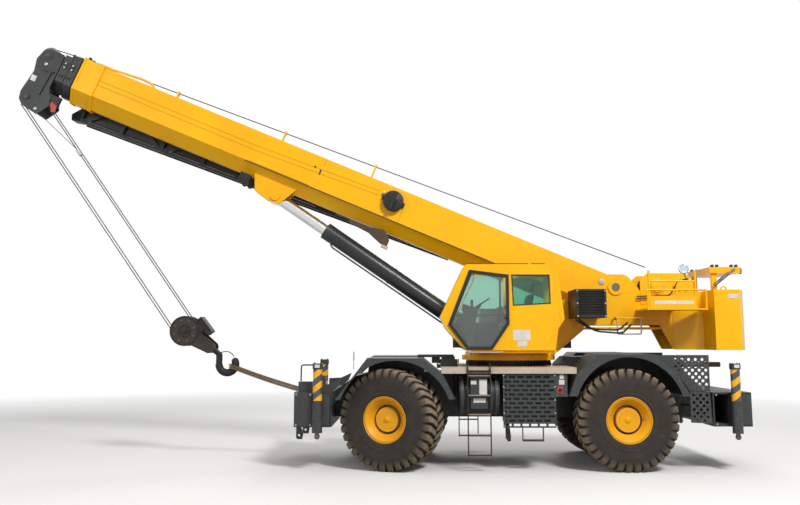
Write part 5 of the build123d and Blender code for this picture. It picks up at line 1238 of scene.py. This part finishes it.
hoses = {"radius": 0.017, "runs": [([(1.42, -0.95, 2.66), (1.70, -0.98, 2.44), (2.22, -0.92, 2.40),
                                     (2.46, -0.60, 2.56)], 0.12),
                                   ([(1.36, -0.90, 2.66), (1.62, -0.94, 2.48), (2.16, -0.88, 2.46),
                                     (2.40, -0.56, 2.60)], 0.10)]}
runs = joined([tubeShape(bentPath(points, bend), hoses["radius"], 12) for points, bend in hoses["runs"]])
addPiece("underHoses", runs, hoseRubber, "superstructure")
print("head dressed")


# the CAD nodes that stay: a finish for each

corners = [corner[0] for corner in wheel["corners"]]
jacks = [place[0] for place in jack["places"]]
finishes = {
    yellowEnamel: ["turntable", "cab_shell", "counterweight", "platform", "boom_base"],
    rimEnamel: [f"rim_{corner}" for corner in corners],
    greyEnamel: ["fenders_left", "fenders_right", "guards", "outrigger_box_front", "outrigger_box_rear"]
                + [f"beam_{place}" for place in jacks],
    paleEnamel: ["decks"],
    boomGrey: ["boom_inner_mid", "boom_outer_mid", "boom_fly", "lift_barrel"],
    blackEnamel: ["chassis_frame", "front_axle", "rear_axle", "fuel_tank", "side_tank_and_boxes",
                  "engine_hood", "machinery", "slew_ring", "ladders", "winches", "stowed_jib"]
                 + [f"knuckle_{corner}" for corner in corners],
    exhaustSteel: ["radiator_and_exhaust", "engine_block"],
    chromedRod: ["lift_rod"],
    greasedSteel: ["boom_foot_pin", "lift_foot_pin", "head_sheaves"]
                  + [f"jack_rod_{place}" for place in jacks],
    ropeSteel: ["hoist_rope", "hoist_falls"],
    blockSteel: ["hook_block"],
    cabGlazing: ["cab_glass"],
}
for material, names in finishes.items():
    for name in names:
        mesh = nodes[name].data
        mesh.materials.clear()
        mesh.materials.append(material)
print("frame painted")


# floor, light and camera

studio = {"floorHalf": 150.0, "floorSeen": "#f7f6f4", "floorLit": "#8f8d89", "fadeFrom": 13.0,
          "fadeTo": 24.0, "skyLight": 0.40}


def addFloor():
    # a matt pale floor: the camera sees it nearly white with the object's shadow on it, and white far away,
    # while what it throws back on the object is only as much as worn concrete would
    material, tree, where = newMaterial("paintedStudioFloor")
    ray = addNode(tree, "LightPath", take="Is Diffuse Ray")
    seen = addNode(tree, "Mix", {0: ray, 6: linear(studio["floorSeen"]), 7: linear(studio["floorLit"])},
                   data_type="RGBA")
    matt = addNode(tree, "BsdfPrincipled", {"Base Color": seen, "Roughness": 0.95})
    away = addNode(tree, "VectorMath", {0: where}, take="Value", operation="LENGTH")
    far = addNode(tree, "MapRange", {"Value": away, "From Min": studio["fadeFrom"],
                                     "From Max": studio["fadeTo"]})
    direct = addNode(tree, "Math", {0: 1.0, 1: ray}, operation="SUBTRACT")
    far = addNode(tree, "Math", {0: far, 1: direct}, operation="MULTIPLY")
    white = addNode(tree, "Emission", {"Color": linear("#ffffff"), "Strength": 1.0})
    both = addNode(tree, "MixShader", {0: far, 1: matt, 2: white})
    addNode(tree, "OutputMaterial", {"Surface": both})
    half = studio["floorHalf"]
    mesh = bpy.data.meshes.new("studioFloor")
    mesh.from_pydata([(-half, -half, 0), (half, -half, 0), (half, half, 0), (-half, half, 0)], [],
                     [[0, 1, 2, 3]])
    mesh.materials.append(material)
    floor = bpy.data.objects.new("studioFloor", mesh)
    bpy.context.scene.collection.objects.link(floor)


def addSky():
    # white for the camera and in reflections, and a soft plain light for the rest
    world = bpy.data.worlds.new("studioSky")
    bpy.context.scene.world = world
    world.use_nodes = True
    tree = world.node_tree
    tree.nodes.clear()
    ray = addNode(tree, "LightPath", take="Is Diffuse Ray")
    strength = addNode(tree, "MapRange", {"Value": ray, "To Min": 1.0, "To Max": studio["skyLight"]})
    sky = addNode(tree, "Background", {"Color": linear("#ffffff"), "Strength": strength})
    addNode(tree, "OutputWorld", {"Surface": sky})


lamps = [
    # name, place, aim, size, power in watts
    ("keyLamp", (7.0, -17.0, 17.0), (-1.0, 0.0, 2.5), 5.0, 4000.0),
    ("fillLamp", (-16.0, -14.0, 8.0), (-2.0, 0.0, 3.0), 10.0, 600.0),
    ("backLamp", (2.0, 16.0, 14.0), (-1.0, 0.0, 3.0), 8.0, 1000.0),
]


def addLamps():
    # round area lamps, each turned from its place to its aim
    for name, place, aim, size, power in lamps:
        light = bpy.data.lights.new(name, "AREA")
        light.shape, light.size, light.energy = "DISK", size, power
        lamp = bpy.data.objects.new(name, light)
        lamp.location = (place[0] + originX, place[1], place[2])
        lamp.rotation_euler = (Vector(aim) - Vector(place)).to_track_quat("-Z", "Y").to_euler()
        bpy.context.scene.collection.objects.link(lamp)


camera = {"x": -1.641, "y": -17.882, "z": 2.297, "pitch": 8.44, "yaw": 0.83, "lens": 40.79, "shiftY": -0.06}


def addCamera():
    # the camera that was fitted to the photograph
    data = bpy.data.cameras.new("camera")
    data.lens, data.sensor_width, data.shift_y = camera["lens"], 36.0, camera["shiftY"]
    data.clip_end = 300
    seen = bpy.data.objects.new("camera", data)
    seen.location = (camera["x"] + originX, camera["y"], camera["z"])
    seen.rotation_euler = (math.radians(90 + camera["pitch"]), 0, math.radians(camera["yaw"]))
    bpy.context.scene.collection.objects.link(seen)
    bpy.context.scene.camera = seen


addFloor()
addSky()
addLamps()
addCamera()
bpy.context.scene.view_settings.view_transform = "Standard"
print("stage set")
